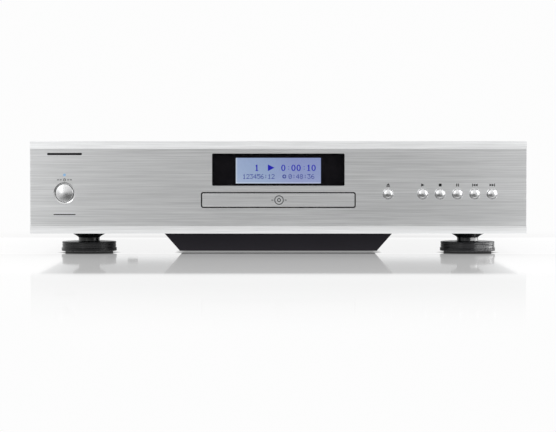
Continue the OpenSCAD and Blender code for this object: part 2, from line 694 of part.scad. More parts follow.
// The belt's straight runs touch both wheels' grooves, a little outside them
belt_t = 1.1;
belt_gap = 0.15;
module belt_loop(outward) {
    far = motor_x - pulley_x;
    r0 = pulley_groove_r + outward;
    r1 = motor_groove_r + outward;
    lean = acos((r0 - r1) / far);
    polygon(concat(
        [for (i = [0:24]) let (a = lean + (360 - 2 * lean) * i / 24) [r0 * cos(a), r0 * sin(a)]],
        [for (i = [0:10]) let (a = -lean + 2 * lean * i / 10) [far + r1 * cos(a), r1 * sin(a)]]));
}
module loading_belt() color("#101011") translate([pulley_x, gear_y, (pulley_low + pulley_high) / 2
    - belt_t / 2]) linear_extrude(belt_t) difference() {
    belt_loop(belt_gap + belt_t);
    belt_loop(belt_gap);
}

module loading_motor() color("#b3b6b9") translate([motor_x, gear_y, 0]) difference() {
    cylinder_from(10, floor_z + 0.8, loader_z);
    translate([0, 0, loader_z - 4]) cylinder(h = 6, r = 3.2, $fn = small);
}

module cylinder_from(r, low, high, fn = small) {
    translate([0, 0, low]) cylinder(h = high - low, r = r, $fn = fn);
}

// A plate with a slanting slot that lifts the traverse's peg as it slides to the right
peg_out = 127;                           // from the hinge to the middle of the peg
peg_high = hinge_z + 0.5;
peg_low = peg_high - peg_out * sin(lower_deg);
peg_gap = 0.25;
module lift_slider() color("#e6e3d8") difference() {
    box([peg_x - slider_travel - 7, peg_x + 7], [slider_y, slider_y + slider_t], [27.4, 42.6]);
    lean = atan2(peg_high - peg_low, slider_travel);
    slot_l = norm([slider_travel, peg_high - peg_low]);
    translate([peg_x, slider_y - 1, peg_low]) rotate([0, lean, 0])
        translate([-slot_l, 0, -peg_r - peg_gap]) cube([slot_l, slider_t + 2, 2 * (peg_r + peg_gap)]);
    for (end = [0, 1]) translate([peg_x - end * slider_travel, 0,
        peg_low + end * (peg_high - peg_low)])
        rod_y(peg_r + peg_gap, slider_y - 1, slider_y + slider_t + 1);
}

// ---------- Traverse ----------

rod_front = -66.5;
rod_rear = 9;
module traverse_frame() color("#6f7276") lowered() difference() {
    union() {
        difference() {
            box([-traverse_x, traverse_x], [traverse_front, 20], [traverse_low, traverse_high]);
            box([-14, 12], [rod_front + 0.5, 8], [traverse_low - 1, traverse_high + 1]);
        }
        both_sides() {
            translate([traverse_x - eps, hinge_y, hinge_z]) rotate([0, 90, 0])
                cylinder(h = 8, r = pin_r, $fn = small);
            box([traverse_x - 8, traverse_x], [hinge_y - 3, hinge_y + 3], [hinge_z - 3, hinge_z + 3]);
        }
        translate([peg_x, 0, peg_high])
            rod_y(peg_r, slider_y + 0.1, traverse_front + eps);
        box([peg_x - 3, peg_x + 3], [traverse_front, traverse_front + 6], [traverse_low - 2,
            traverse_high + 1]);
        for (x = rod_xs) for (y = [rod_front, rod_rear - 3])
            box([x - 3, x + 3], [y, y + 3], [traverse_high - eps, rod_z + 2.6]);
        translate([feed_x, feed_y, traverse_high - eps]) cylinder(h = 4.2, r = 1.5, $fn = small);
    }
    for (x = rod_xs) translate([x, 0, rod_z]) rod_y(rod_r, rod_front + 1, rod_rear - 1);
    translate([feed_x, feed_pinion_y, traverse_low - 1]) cylinder(h = 6, r = 2.2, $fn = small);
}

module spindle_motor() color("#a6a9ad") lowered() translate([0, disc_y, 0]) difference() {
    union() {
        cylinder_from(12, traverse_high, 47);
        cylinder_from(9, traverse_high, 47.2);
    }
    cylinder_from(1.05, traverse_high + 1, 48);
}

module turntable() color("#2b2c2f") lowered() translate([0, disc_y, 0]) {
    rotate_extrude($fn = fine) polygon([
        [0, 47.6], [4, 47.6], [4, table_z - 1.8], [14.5, table_z - 1.8], [14.5, table_z],
        [7.4, table_z], [7.3, table_z + 0.9], [5.8, table_z + 2], [0, table_z + 2]]);
    cylinder_from(1, traverse_high + 1.2, 47.7);
}

module guide_rods() color("#d9dbdd") lowered() for (x = rod_xs)
    translate([x, 0, rod_z]) rod_y(rod_r, rod_front + 1, rod_rear - 1);

sled_front = -63.2;
sled_rear = -40;
lens_y = -57;
module pickup_sled() color("#34363a") lowered() difference() {
    union() {
        box([-22, feed_rack_x - 2], [sled_front, sled_rear], [traverse_high + 0.4, 45.6]);
        box([-11, 9], [sled_front + 2, sled_rear - 2], [traverse_low + 0.4, traverse_high + 0.5]);
        box([-9, 9], [lens_y - 6, lens_y + 9], [45.6 - eps, 46.9]);
        translate([feed_rack_x, feed_y, feed_low]) linear_extrude(feed_high - feed_low)
            polygon(rack_points(-15, 1, feed_module, 1.8));
    }
    for (x = rod_xs) translate([x, 0, rod_z]) rod_y(rod_r + 0.06, sled_front - 1, sled_rear + 1);
    translate([0, lens_y, 44.4]) cylinder(h = 6, r = 4, $fn = small);
}

module objective_lens() color("#7fb0d8") lowered() translate([0, lens_y, 0]) rotate_extrude($fn = small)
    polygon(concat([[0, 44.4], [3.6, 44.4], [3.6, 47.1], [2.6, 47.1]],
        [for (i = [4:-1:0]) [2.6 * sin(90 * i / 4), 47.1 + 0.7 * cos(90 * i / 4)]]));

module feed_gear() color("#e6e3d8") lowered() translate([feed_x, feed_y, 0])
    rotate(180 + 180 / feed_teeth) gear_body(feed_teeth, feed_module, feed_low, feed_high, 1.55);

module feed_pinion() color("#e6e3d8") lowered() translate([feed_x, feed_pinion_y, 0]) {
    translate([0, 0, feed_low]) linear_extrude(feed_high - feed_low)
        polygon(gear_points(feed_pinion_teeth, feed_module));
    cylinder_from(1, traverse_low - 1.8, feed_low + eps);
}

module feed_motor() color("#b3b6b9") lowered() translate([feed_x, feed_pinion_y, 0]) difference() {
    cylinder_from(7.5, traverse_low - 9, traverse_low);
    cylinder_from(1.6, traverse_low - 2.4, traverse_low + 1);
}

// ---------- Power supply and boards ----------

module transformer() color("#b07a3a") translate([transformer_at[0], transformer_at[1], 0])
    rotate_extrude($fn = fine) translate([29, 38.5]) polygon(round_rect(30, 34, 8));

module transformer_clamp() color("#4a4c50") translate([transformer_at[0], transformer_at[1], 0]) {
    difference() {
        cylinder_from(43, floor_z, floor_z + 1.4, fine);
        cylinder_from(3, floor_z - 1, floor_z + 3);
    }
    difference() {
        cylinder_from(32, 55.6, 57);
        cylinder_from(3, 55, 58);
    }
    cylinder_from(2.9, pan_z - 1.6, 61);
    translate([0, 0, 57]) cylinder(h = 4, r = 5, $fn = 6);
    translate([0, 0, pan_z - 2.6]) cylinder(h = 2.6, r = 5, $fn = 6);
}

board_z = floor_z + board_post_h;
board_t = 1.6;
module board(xs, ys, posts) difference() {
    box(xs, ys, [board_z, board_z + board_t]);
    for (p = posts) translate([p[0], p[1], board_z - 1]) cylinder(h = 4, r = 1.5, $fn = small);
}

module supply_board() {
    color("#2f5b3c") board([-203, -100], [-95, 0], supply_posts);
    color("#8e9194") for (i = [0:6])
        box([-124 + 3.4 * i, -122.6 + 3.4 * i], [-84, -50], [board_z + board_t, 58]);
    color("#8e9194") box([-124, -102.2], [-68.5, -65.5], [board_z + board_t, 57]);
    color("#d8d5cc") box([-196, -172], [-30, -20], [board_z + board_t, 40]);
    color("#2a2a2c") box([-150, -132], [-12, -4], [board_z + board_t, 42]);
    color("#d8d5cc") box([-123, -109], [-92, -87], [board_z + board_t, 36]);
}

module supply_capacitors() color("#1d2340") {
    for (p = [[-185, -72], [-160, -72], [-185, -46], [-160, -46]])
        translate([p[0], p[1], 0]) cylinder_from(10, board_z + board_t, 58);
    for (x = [-140, -126, -112])
        translate([x, -30, 0]) cylinder_from(5, board_z + board_t, 44);
}

module main_board() color("#2f5b3c") {
    board([87, 204], [-60, 136], main_posts);
    box([96, 112], [-52, -46], [board_z + board_t, 37]);
    box([120, 150], [-52, -46], [board_z + board_t, 37]);
}

module main_board_chips() color("#202124") {
    for (c = [[110, -10, 18, 18], [140, 10, 14, 14], [160, 60, 10, 18], [120, 60, 8, 6]])
        box([c[0] - c[2] / 2, c[0] + c[2] / 2], [c[1] - c[3] / 2, c[1] + c[3] / 2],
            [board_z + board_t, board_z + board_t + 2]);
    for (x = [142:11:190]) for (y = [84, 100])
        translate([x, y, 0]) cylinder_from(4, board_z + board_t, 39);
    for (x = [175, 187]) for (y = [-30, -16, -2, 12])
        translate([x, y, 0]) cylinder_from(4, board_z + board_t, 41);
}

// ---------- Rear connectors ----------

inlet_mouth = rear_y + 2.5;
inlet_floor = rear_y - 16.5;
module mains_inlet() translate([inlet_x, 0, inlet_z]) {
    color("#111214") difference() {
        union() {
            slab_y(50, 22.4, 4, rear_y, inlet_mouth);
            slab_y(27.6, 20, 2, rear_y - 20, rear_y + eps);
        }
        translate([0, inlet_mouth + 1, 0]) rotate([90, 0, 0])
            linear_extrude(inlet_mouth + 1 - inlet_floor) polygon([
                [-12.1, -8.1], [12.1, -8.1], [12.1, 4.2], [8.2, 8.1], [-8.2, 8.1], [-12.1, 4.2]]);
        for (x = [-20, 20]) translate([x, 0, 0]) rod_y(1.5, rear_y - 1, inlet_mouth + 1);
    }
    color("#c8cacc") for (p = [[0, 3.4], [-7, -3.4], [7, -3.4]])
        box([p[0] - 1, p[0] + 1], [inlet_floor, inlet_floor + 13.5], [p[1] - 2, p[1] + 2]);
}

module signal_jacks() for (x = jack_xs) translate([x, 0, jack_z]) {
    color("#d8b45a") rotate([-90, 0, 0]) rotate_extrude($fn = fine) polygon([
        [3.4, rear_in_y - 3], [5, rear_in_y - 3], [5, rear_y], [6.6, rear_y], [6.6, rear_y + 1.4],
        [jack_r, rear_y + 1.4], [jack_r, body_d / 2 - 0.3], [jack_r - 0.3, body_d / 2],
        [3.4, body_d / 2]]);
    color("#efefec") rotate([-90, 0, 0]) rotate_extrude($fn = fine) polygon([
        [1.6, rear_y - 1.2], [3.4, rear_y - 1.2], [3.4, body_d / 2 - 0.8], [1.6, body_d / 2 - 0.8]]);
    color("#17181a") box([-6, 6], [rear_in_y - 17, rear_in_y - 3], [-7, 7]);
}

serial_mouth = rear_y + 1;
module control_sockets() color("#17181a") {
    translate([serial_x, 0, socket_z]) difference() {
        slab_y(15.8, 13.4, 0.4, rear_y - 17, serial_mouth);
        translate([0, 0, 0.4]) slab_y(12.2, 9, 0.2, rear_y - 13, serial_mouth + 1);
        translate([0, 0, -5]) slab_y(6.4, 3.4, 0.2, rear_y - 9, serial_mouth + 1);
    }
    for (x = socket_xs) translate([x, 0, socket_z]) difference() {
        union() {
            rod_y(3.8, rear_in_y - 1, rear_y + 2.5);
            box([-5, 5], [rear_in_y - 13, rear_in_y - 0.5], [-5, 5]);
        }
        rod_y(1.8, rear_y - 11.5, rear_y + 3);
    }
}

// Flat cables: main board to button board, main board to loader, supply board to display
cable_t = 0.6;
module ribbon_cables() color("#c9ccd0") {
    box([122, 148], [-133.6, -48.8], [45, 45 + cable_t]);
    box([122, 148], [-48.8 - cable_t, -48.8], [37, 45 + cable_t]);
    box([wall_x + wall_t, 110], [-50.6, -50.6 + cable_t], [46, 50]);
    box([98, 110], [-50.6, -50.6 + cable_t], [37, 50]);
    display_cable_z = 68.7;
    box([-56, -44], [-135.7, -116], [display_cable_z, display_cable_z + cable_t]);
    box([-122, -44], [-128, -116], [display_cable_z, display_cable_z + cable_t]);
    box([-122, -110], [-128, -89], [display_cable_z, display_cable_z + cable_t]);
    box([-122, -110], [-89 - cable_t, -89], [36, display_cable_z + cable_t]);
}

front_panel();
front_bracket();
display_window();
display_mask();
lcd_module();
display_board();
power_led();
power_button();
power_switch();
eject_button();
play_button();
stop_button();
pause_button();
previous_button();
next_button();
button_board();
tact_switches();
lower_trim();
base_pan();
top_cover();
rear_panel();
case_screws();
front_left_foot();
front_right_foot();
rear_left_foot();
rear_right_foot();
foot_pads();
foot_screws();
disc_tray();
tray_door();
loader_frame();
mechanism_stands();
mechanism_screws();
clamp_bridge();
disc_clamp();
drive_gear();
pulley_gear();
motor_pulley();
loading_belt();
loading_motor();
lift_slider();
traverse_frame();
spindle_motor();
turntable();
guide_rods();
pickup_sled();
objective_lens();
feed_gear();
feed_pinion();
feed_motor();
transformer();
transformer_clamp();
supply_board();
supply_capacitors();
main_board();
main_board_chips();
mains_inlet();
signal_jacks();
control_sockets();
ribbon_cables();
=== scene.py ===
"""Looks for a full-width CD player: studio, materials and the detailed pieces round the CAD frame."""
import math

import bmesh
import bpy
from mathutils import Matrix, Vector


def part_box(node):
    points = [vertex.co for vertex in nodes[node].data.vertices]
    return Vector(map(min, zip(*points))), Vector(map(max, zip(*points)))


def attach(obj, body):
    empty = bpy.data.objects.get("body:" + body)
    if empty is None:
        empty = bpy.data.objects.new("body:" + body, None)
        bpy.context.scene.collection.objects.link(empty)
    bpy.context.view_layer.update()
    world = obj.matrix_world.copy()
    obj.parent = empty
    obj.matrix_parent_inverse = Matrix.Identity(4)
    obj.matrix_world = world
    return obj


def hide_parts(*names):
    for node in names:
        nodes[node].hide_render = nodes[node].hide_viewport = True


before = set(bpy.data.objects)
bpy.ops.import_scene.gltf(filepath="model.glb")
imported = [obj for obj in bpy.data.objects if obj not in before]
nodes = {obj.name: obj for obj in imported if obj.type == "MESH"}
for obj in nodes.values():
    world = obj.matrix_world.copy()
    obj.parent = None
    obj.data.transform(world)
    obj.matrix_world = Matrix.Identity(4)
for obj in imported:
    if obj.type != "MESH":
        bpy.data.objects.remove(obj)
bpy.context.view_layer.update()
MM = 0.001

# ---------------------------------------------------------------- places, all read from the frame
face_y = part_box("front_panel")[0].y
window_low, window_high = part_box("display_window")
lcd_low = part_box("lcd_module")[0]
mask_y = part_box("display_mask")[0].y
door_low, door_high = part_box("tray_door")


def centre_of(node):
    """The middle of a node's box at rest."""
    low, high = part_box(node)
    return (low + high) / 2


# ---------------------------------------------------------------- node helpers
class Nodes:
    """A node tree, with short ways to add to it."""

    def __init__(self, tree):
        self.tree = tree

    def node(self, kind, **values):
        """Adds a node. A value goes to the input of that name, or else it is one of the node's settings."""
        made = self.tree.nodes.new(kind)
        for key, value in values.items():
            socket = key.replace("_", " ")
            if socket in made.inputs:
                made.inputs[socket].default_value = value
            else:
                setattr(made, key, value)
        return made

    def link(self, a, b):
        self.tree.links.new(a, b)

    def math(self, kind, *values):
        made = self.node("ShaderNodeMath", operation=kind)
        for socket, value in zip(made.inputs, values):
            if isinstance(value, (int, float)):
                socket.default_value = value
            else:
                self.link(value, socket)
        return made.outputs["Value"]

    def fade(self, value, start, end, at_start, at_end):
        """A smooth step from at_start, where the value is start, to at_end, where it is end."""
        made = self.node("ShaderNodeMapRange", interpolation_type="SMOOTHSTEP", From_Min=start, From_Max=end,
                         To_Min=at_start, To_Max=at_end)
        self.link(value, made.inputs["Value"])
        return made.outputs["Result"]

    def mix_shaders(self, share, first, second):
        made = self.node("ShaderNodeMixShader")
        self.link(share, made.inputs["Fac"])
        self.link(first, made.inputs[1])
        self.link(second, made.inputs[2])
        return made.outputs["Shader"]


class Shader(Nodes):
    """A material with a Principled shader, and patterns laid out in the CAD frame's metres."""

    def __init__(self, name, color, roughness, metallic=0.0, **sockets):
        self.material = bpy.data.materials.new(name)
        self.material.use_nodes = True
        super().__init__(self.material.node_tree)
        self.shader = self.tree.nodes["Principled BSDF"]
        self.shader.inputs["Base Color"].default_value = (*color, 1)
        self.shader.inputs["Roughness"].default_value = roughness
        self.shader.inputs["Metallic"].default_value = metallic
        for key, value in sockets.items():
            self.shader.inputs[key.replace("_", " ")].default_value = value
        self.coords = None

    def position(self, scale=(1, 1, 1), rotation=(0, 0, 0)):
        """Object coordinates, in metres in the CAD frame, scaled."""
        if self.coords is None:
            self.coords = self.node("ShaderNodeTexCoord")
        mapping = self.node("ShaderNodeMapping")
        mapping.inputs["Scale"].default_value = scale
        mapping.inputs["Rotation"].default_value = rotation
        self.link(self.coords.outputs["Object"], mapping.inputs["Vector"])
        return mapping.outputs["Vector"]

    def noise(self, scale=(1, 1, 1), detail=2.0, size=1.0, roughness=0.5, rotation=(0, 0, 0)):
        made = self.node("ShaderNodeTexNoise", Scale=size, Detail=detail, Roughness=roughness)
        self.link(self.position(scale, rotation), made.inputs["Vector"])
        return made.outputs["Fac"]

    def span(self, value, low, high, start=0.3, end=0.7):
        """Maps a pattern from start to end onto low to high."""
        made = self.node("ShaderNodeMapRange", From_Min=start, From_Max=end, To_Min=low, To_Max=high)
        self.link(value, made.inputs["Value"])
        return made.outputs["Result"]

    def ramp(self, value, stops):
        made = self.node("ShaderNodeValToRGB")
        ramp = made.color_ramp
        while len(ramp.elements) < len(stops):
            ramp.elements.new(0.5)
        for element, (place, color) in zip(ramp.elements, stops):
            element.position = place
            element.color = (*color, 1)
        self.link(value, made.inputs["Fac"])
        return made.outputs["Color"]

    def color(self, kind, a, b):
        made = self.node("ShaderNodeMix", data_type="RGBA", blend_type=kind)
        made.inputs["Factor"].default_value = 1.0
        self.link(a, made.inputs["A"])
        self.link(b, made.inputs["B"])
        return made.outputs["Result"]

    def tint(self, color, value, low, high):
        """The base colour, made darker and lighter by a pattern."""
        stops = [(0.3, [c * low for c in color]), (0.7, [min(1, c * high) for c in color])]
        self.link(self.ramp(value, stops), self.shader.inputs["Base Color"])

    def rough(self, value, low, high):
        self.link(self.span(value, low, high), self.shader.inputs["Roughness"])

    def bump(self, value, strength, distance):
        made = self.node("ShaderNodeBump", Strength=strength, Distance=distance)
        self.link(value, made.inputs["Height"])
        if self.shader.inputs["Normal"].links:
            self.link(self.shader.inputs["Normal"].links[0].from_socket, made.inputs["Normal"])
        self.link(made.outputs["Normal"], self.shader.inputs["Normal"])

    def blend(self, *parts):
        """The sum of patterns, each given with its share."""
        total = None
        for pattern, share in parts:
            part = self.math("MULTIPLY", pattern, share)
            total = part if total is None else self.math("ADD", total, part)
        return total


def brushed(name, color, roughness, along="x", low=0.94, high=1.05, metallic=1.0, stretch=0.5):
    """Metal brushed along one axis: hairline scratches, short strokes and broad faint streaks."""
    s = Shader(name, color, roughness, metallic)
    s.shader.inputs["Anisotropic"].default_value = stretch
    s.shader.inputs["Anisotropic Rotation"].default_value = 0.25

    def scale(length, width):
        return {"x": (length, width, width), "y": (width, length, width), "z": (width, width, length)}[along]

    hair = s.noise(scale(10, 4600), detail=2)
    strokes = s.noise(scale(26, 2100), detail=2)
    broad = s.noise(scale(2.5, 700), detail=2)
    both = s.blend((hair, 0.2), (strokes, 0.5), (broad, 0.3))
    s.tint(color, both, low, high)
    s.rough(both, roughness - 0.05, roughness + 0.06)
    s.bump(s.blend((hair, 0.5), (strokes, 0.5)), 0.12, 0.00004)
    return s.material


def turned(name, color, roughness, metallic=1.0, axis="y", ring=0.0003):
    """Metal turned on a lathe: fine rings round the object's own origin."""
    s = Shader(name, color, roughness, metallic)
    made = s.node("ShaderNodeTexWave", wave_type="RINGS", rings_direction=axis.upper(),
                  Scale=1 / ring / 6.2832, Distortion=0.6, Detail=1.0)
    s.link(s.position(), made.inputs["Vector"])
    grime = s.noise((900, 900, 900), detail=2)
    s.tint(color, grime, 0.95, 1.04)
    s.rough(grime, roughness - 0.03, roughness + 0.05)
    s.bump(made.outputs["Fac"], 0.05, 0.00002)
    return s.material


def painted(name, color, roughness, grain=0.0007, metallic=0.0, depth=0.00005, strength=0.35, mottling=0.05):
    """Paint or powder coat with a fine orange peel and faint mottling."""
    s = Shader(name, color, roughness, metallic)
    peel = s.noise((1 / grain,) * 3, detail=2)
    mottle = s.noise((28, 28, 28), detail=4)
    s.tint(color, mottle, 1 - mottling, 1 + mottling)
    s.rough(s.blend((peel, 0.5), (mottle, 0.5)), roughness - 0.06, roughness + 0.07)
    s.bump(peel, strength, depth)
    return s.material


def plastic(name, color, roughness, grain=0.0004, strength=0.3, low=0.85, high=1.15, coat=0.0):
    """Moulded plastic with a spark-eroded surface, and wear that polishes it here and there."""
    s = Shader(name, color, roughness, 0.0, Coat_Weight=coat)
    spark = s.noise((1 / grain,) * 3, detail=1)
    wear = s.noise((45, 45, 45), detail=5, roughness=0.6)
    s.tint(color, wear, low, high)
    s.rough(wear, roughness - 0.07, roughness + 0.08)
    s.bump(spark, strength, 0.00003)
    return s.material


def sheet_steel(name, color=(0.62, 0.63, 0.64)):
    """Zinc-plated sheet: cloudy crystals and a faint rolling direction."""
    s = Shader(name, color, 0.36, 1.0)
    cells = s.node("ShaderNodeTexVoronoi", feature="F1", Scale=150.0)
    s.link(s.position(), cells.inputs["Vector"])
    crystal = s.span(cells.outputs["Distance"], 0.35, 0.65, 0.0, 1.0)
    rolled = s.noise((400, 12, 400), detail=3)
    both = s.blend((crystal, 0.5), (rolled, 0.5))
    s.tint(color, both, 0.86, 1.1)
    s.rough(both, 0.3, 0.44)
    s.bump(rolled, 0.1, 0.00003)
    return s.material


def board_material(name):
    """Green solder resist over copper tracks, drawn by a brick pattern."""
    s = Shader(name, (0.02, 0.13, 0.06), 0.35)
    tracks = s.node("ShaderNodeTexBrick", offset=0.37, Scale=1.0, Color1=(0.018, 0.13, 0.055, 1),
                    Color2=(0.03, 0.17, 0.075, 1), Mortar=(0.09, 0.3, 0.13, 1), Mortar_Size=0.0007,
                    Brick_Width=0.019, Row_Height=0.0031)
    s.link(s.position(), tracks.inputs["Vector"])
    s.link(tracks.outputs["Color"], s.shader.inputs["Base Color"])
    s.rough(s.noise((70, 70, 70), detail=3), 0.3, 0.45)
    s.bump(tracks.outputs["Fac"], 0.25, 0.00004)
    return s.material


TAPE_LAPS = 48


def wound_tape(name, centre):
    """Amber tape wound round a ring core: radial overlaps."""
    amber = (0.6, 0.3, 0.05)
    s = Shader(name, amber, 0.3, Coat_Weight=0.3)
    shifted = s.node("ShaderNodeVectorMath", operation="SUBTRACT")
    s.link(s.position(), shifted.inputs[0])
    shifted.inputs[1].default_value = (centre[0], centre[1], 0)
    parts = s.node("ShaderNodeSeparateXYZ")
    s.link(shifted.outputs["Vector"], parts.inputs["Vector"])
    angle = s.math("ARCTAN2", parts.outputs["Y"], parts.outputs["X"])
    laps = s.math("FRACT", s.math("MULTIPLY", angle, TAPE_LAPS / math.tau))
    laps = s.span(laps, 0.3, 0.72, 0.0, 1.0)
    s.tint(amber, laps, 0.72, 1.12)
    s.bump(laps, 0.6, 0.0004)
    s.rough(s.noise((60, 60, 60)), 0.24, 0.4)
    return s.material


def lit_display(name):
    """The display's back light: pale blue, brighter at the left and along the lower edge."""
    s = Shader(name, (0.02, 0.025, 0.05), 0.35)
    parts = s.node("ShaderNodeSeparateXYZ")
    s.link(s.position(), parts.inputs["Vector"])
    across = s.span(parts.outputs["X"], 0.0, 1.0, LCD_LEFT, LCD_RIGHT)
    tone = s.ramp(across, [(0.0, (0.70, 0.78, 0.90)), (0.02, (0.39, 0.49, 0.72)),
                           (0.35, (0.335, 0.435, 0.67)), (0.7, (0.305, 0.355, 0.65)),
                           (1.0, (0.30, 0.36, 0.65))])
    up = s.span(parts.outputs["Z"], 0.0, 1.0, LCD_BOTTOM, LCD_TOP)
    lift = s.ramp(up, [(0.0, (0.40, 0.42, 0.34)), (0.06, (0.07, 0.07, 0.05)),
                       (0.45, (0.02, 0.03, 0.02)), (1.0, (0.0, 0.0, 0.0))])
    lit = s.color("ADD", tone, lift)
    cells = s.ramp(s.noise((900, 900, 900), detail=1), [(0.3, (0.94, 0.94, 0.95)), (0.7, (1, 1, 1))])
    s.link(s.color("MULTIPLY", lit, cells), s.shader.inputs["Emission Color"])
    s.shader.inputs["Emission Strength"].default_value = 1.0
    return s.material


def lamp(name, color, strength):
    """A lens, lit evenly but for a faint mottle, or dark where the strength is 0."""
    s = Shader(name, [c * 0.3 for c in color], 0.2)
    mottle = s.noise((700, 700, 700), detail=1)
    s.link(s.ramp(mottle, [(0.2, [c * 0.8 for c in color]), (0.8, color)]), s.shader.inputs["Emission Color"])
    s.shader.inputs["Emission Strength"].default_value = strength
    return s.material


def smoked_window(name):
    """Clear acrylic with a slight smoke tint and the finest haze."""
    s = Shader(name, (0.006, 0.006, 0.008), 0.04, Alpha=0.13)
    s.shader.inputs["Specular IOR Level"].default_value = 0.10
    s.rough(s.noise((60, 60, 60), detail=3), 0.03, 0.06)
    s.material.blend_method = "BLEND"
    return s.material


def ink(name, color, roughness=0.5):
    """Screen-printed ink, a little uneven."""
    s = Shader(name, color, roughness)
    s.shader.inputs["Specular IOR Level"].default_value = 0.12
    s.tint(color, s.noise((2500, 2500, 2500), detail=1), 0.75, 1.25)
    s.rough(s.noise((400, 400, 400)), roughness - 0.08, roughness + 0.08)
    return s.material


# ---------------------------------------------------------------- mesh helpers
def to_mesh(bm, name, smooth=False):
    """Ends a bmesh as a mesh with its faces turned outward."""
    bmesh.ops.recalc_face_normals(bm, faces=bm.faces)
    mesh = bpy.data.meshes.new(name)
    bm.to_mesh(mesh)
    bm.free()
    for polygon in mesh.polygons:
        polygon.use_smooth = smooth
    return mesh


def new_object(name, mesh, material, body, replaces=(), place=(0, 0, 0), sharp_degrees=None):
    """A piece on a CAD body. Where sharp_degrees is given, it is smooth but for edges sharper than that."""
    made = bpy.data.objects.new(name, mesh)
    bpy.context.scene.collection.objects.link(made)
    mesh.materials.append(material)
    made.location = place
    if sharp_degrees is not None:
        smooth_by_angle(made, sharp_degrees)
    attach(made, body)
    if replaces:
        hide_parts(*replaces)
    return made


def flat_prisms(name, outlines, y_front, depth):
    """Thin raised shapes whose outlines lie in X and Z and whose front is at y_front."""
    bm = bmesh.new()
    for outline in outlines:
        front = [bm.verts.new((x, y_front, z)) for x, z in outline]
        back = [bm.verts.new((x, y_front + depth, z)) for x, z in outline]
        bm.faces.new(front)
        bm.faces.new(back[::-1])
        for i in range(len(front)):
            j = (i + 1) % len(front)
            bm.faces.new((front[j], front[i], back[i], back[j]))
    return to_mesh(bm, name)


def lathe(name, profile, axis="z", steps=96):
    """Turns (radius, height) points round an axis through the object's origin. A radius of 0 closes an end."""
    bm = bmesh.new()
    rings = []
    for radius, height in profile:
        if radius < 1e-9:
            rings.append([bm.verts.new(axis_point(axis, 0, 0, height))])
        else:
            rings.append([bm.verts.new(axis_point(axis, radius * math.cos(math.tau * i / steps),
                                                  radius * math.sin(math.tau * i / steps), height))
                          for i in range(steps)])
    for a, b in zip(rings, rings[1:]):
        for i in range(steps):
            j = (i + 1) % steps
            if len(a) == 1 and len(b) == 1:
                continue
            if len(a) == 1:
                bm.faces.new((a[0], b[j], b[i]))
            elif len(b) == 1:
                bm.faces.new((a[i], a[j], b[0]))
            else:
                bm.faces.new((a[i], a[j], b[j], b[i]))
    return to_mesh(bm, name, smooth=True)


def axis_point(axis, u, v, height):
    """A point at a height along an axis, and u and v across it."""
    return {"z": (u, v, height), "y": (u, height, v), "x": (height, u, v)}[axis]


def smooth_by_angle(made, degrees):
    """Marks the edges sharper than that, with no change to the mesh's points."""
    bm = bmesh.new()
    bm.from_mesh(made.data)
    limit = math.radians(degrees)
    for edge in bm.edges:
        edge.smooth = not (len(edge.link_faces) == 2 and edge.calc_face_angle(0) > limit)
    bm.to_mesh(made.data)
    bm.free()


def rounded(width, height, radius, cx=0.0, cz=0.0, steps=6):
    """Corner points of a rectangle with round corners."""
    radius = min(radius, width / 2 - 1e-6, height / 2 - 1e-6)
    points = []
    for sx, sz, start in ((1, 1, 0), (-1, 1, 90), (-1, -1, 180), (1, -1, 270)):
        for i in range(steps + 1):
            a = math.radians(start + 90 * i / steps)
            points.append((cx + sx * (width / 2 - radius) + radius * math.cos(a),
                           cz + sz * (height / 2 - radius) + radius * math.sin(a)))
    return points


def ring_outlines(cx, cz, outer, inner, steps=32, start=0, end=360):
    """A ring, as quads side by side."""
    out = []
    for i in range(steps):
        a, b = (math.radians(start + (end - start) * k / steps) for k in (i, i + 1))
        out.append([(cx + r * math.cos(t), cz + r * math.sin(t))
                    for r, t in ((outer, a), (outer, b), (inner, b), (inner, a))])
    return out


def bar(x0, x1, z0, z1):
    """A rectangle's corners."""
    return [(x0, z0), (x1, z0), (x1, z1), (x0, z1)]


# ---------------------------------------------------------------- materials
LCD_HALF_W, LCD_HALF_H, LCD_Z = 36.9 * MM, 11.1 * MM, 72.5 * MM
LCD_LEFT, LCD_RIGHT = -LCD_HALF_W, LCD_HALF_W
LCD_BOTTOM, LCD_TOP = LCD_Z - LCD_HALF_H, LCD_Z + LCD_HALF_H

ALUMINIUM = (0.84, 0.848, 0.852)
face_metal = brushed("brushed_aluminium", ALUMINIUM, 0.34, "x", 0.80, 1.17)
button_metal = turned("button_aluminium", (0.86, 0.865, 0.87), 0.24)
chamfer_metal = turned("chamfer_aluminium", (0.86, 0.865, 0.87), 0.12)
zinc = sheet_steel("zinc_steel")
silver_paint = painted("silver_paint", (0.46, 0.465, 0.47), 0.40, 0.0006, 0.6, 0.00006, 0.4, 0.015)
black_paint = painted("black_paint", (0.022, 0.023, 0.026), 0.45, 0.0005, 0.0, 0.00006, 0.5)
trim_paint = painted("trim_paint", (0.0085, 0.0070, 0.0115), 0.36, 0.0012, 0.0, 0.00003, 0.2)
window = smoked_window("window_acrylic")
mask_ink = ink("mask_print", (0.006, 0.005, 0.007), 0.6)
display = lit_display("lcd_back_light")
boards = board_material("board_green")
led_lens = lamp("led_lens", (0.25, 0.42, 0.62), 1.0)
black_plastic = plastic("switch_plastic", (0.025, 0.025, 0.028), 0.45)
tray_plastic = plastic("tray_plastic", (0.022, 0.022, 0.025), 0.48, 0.0005, 0.4)
loader_plastic = plastic("loader_plastic", (0.035, 0.036, 0.04), 0.5, 0.0006, 0.4)
acetal = plastic("gear_acetal", (0.74, 0.71, 0.62), 0.38, 0.0005, 0.15, 0.93, 1.04)
screw_black = turned("black_screws", (0.06, 0.06, 0.065), 0.35, 1.0)
screw_steel = turned("steel_screws", (0.6, 0.6, 0.61), 0.3, 1.0)
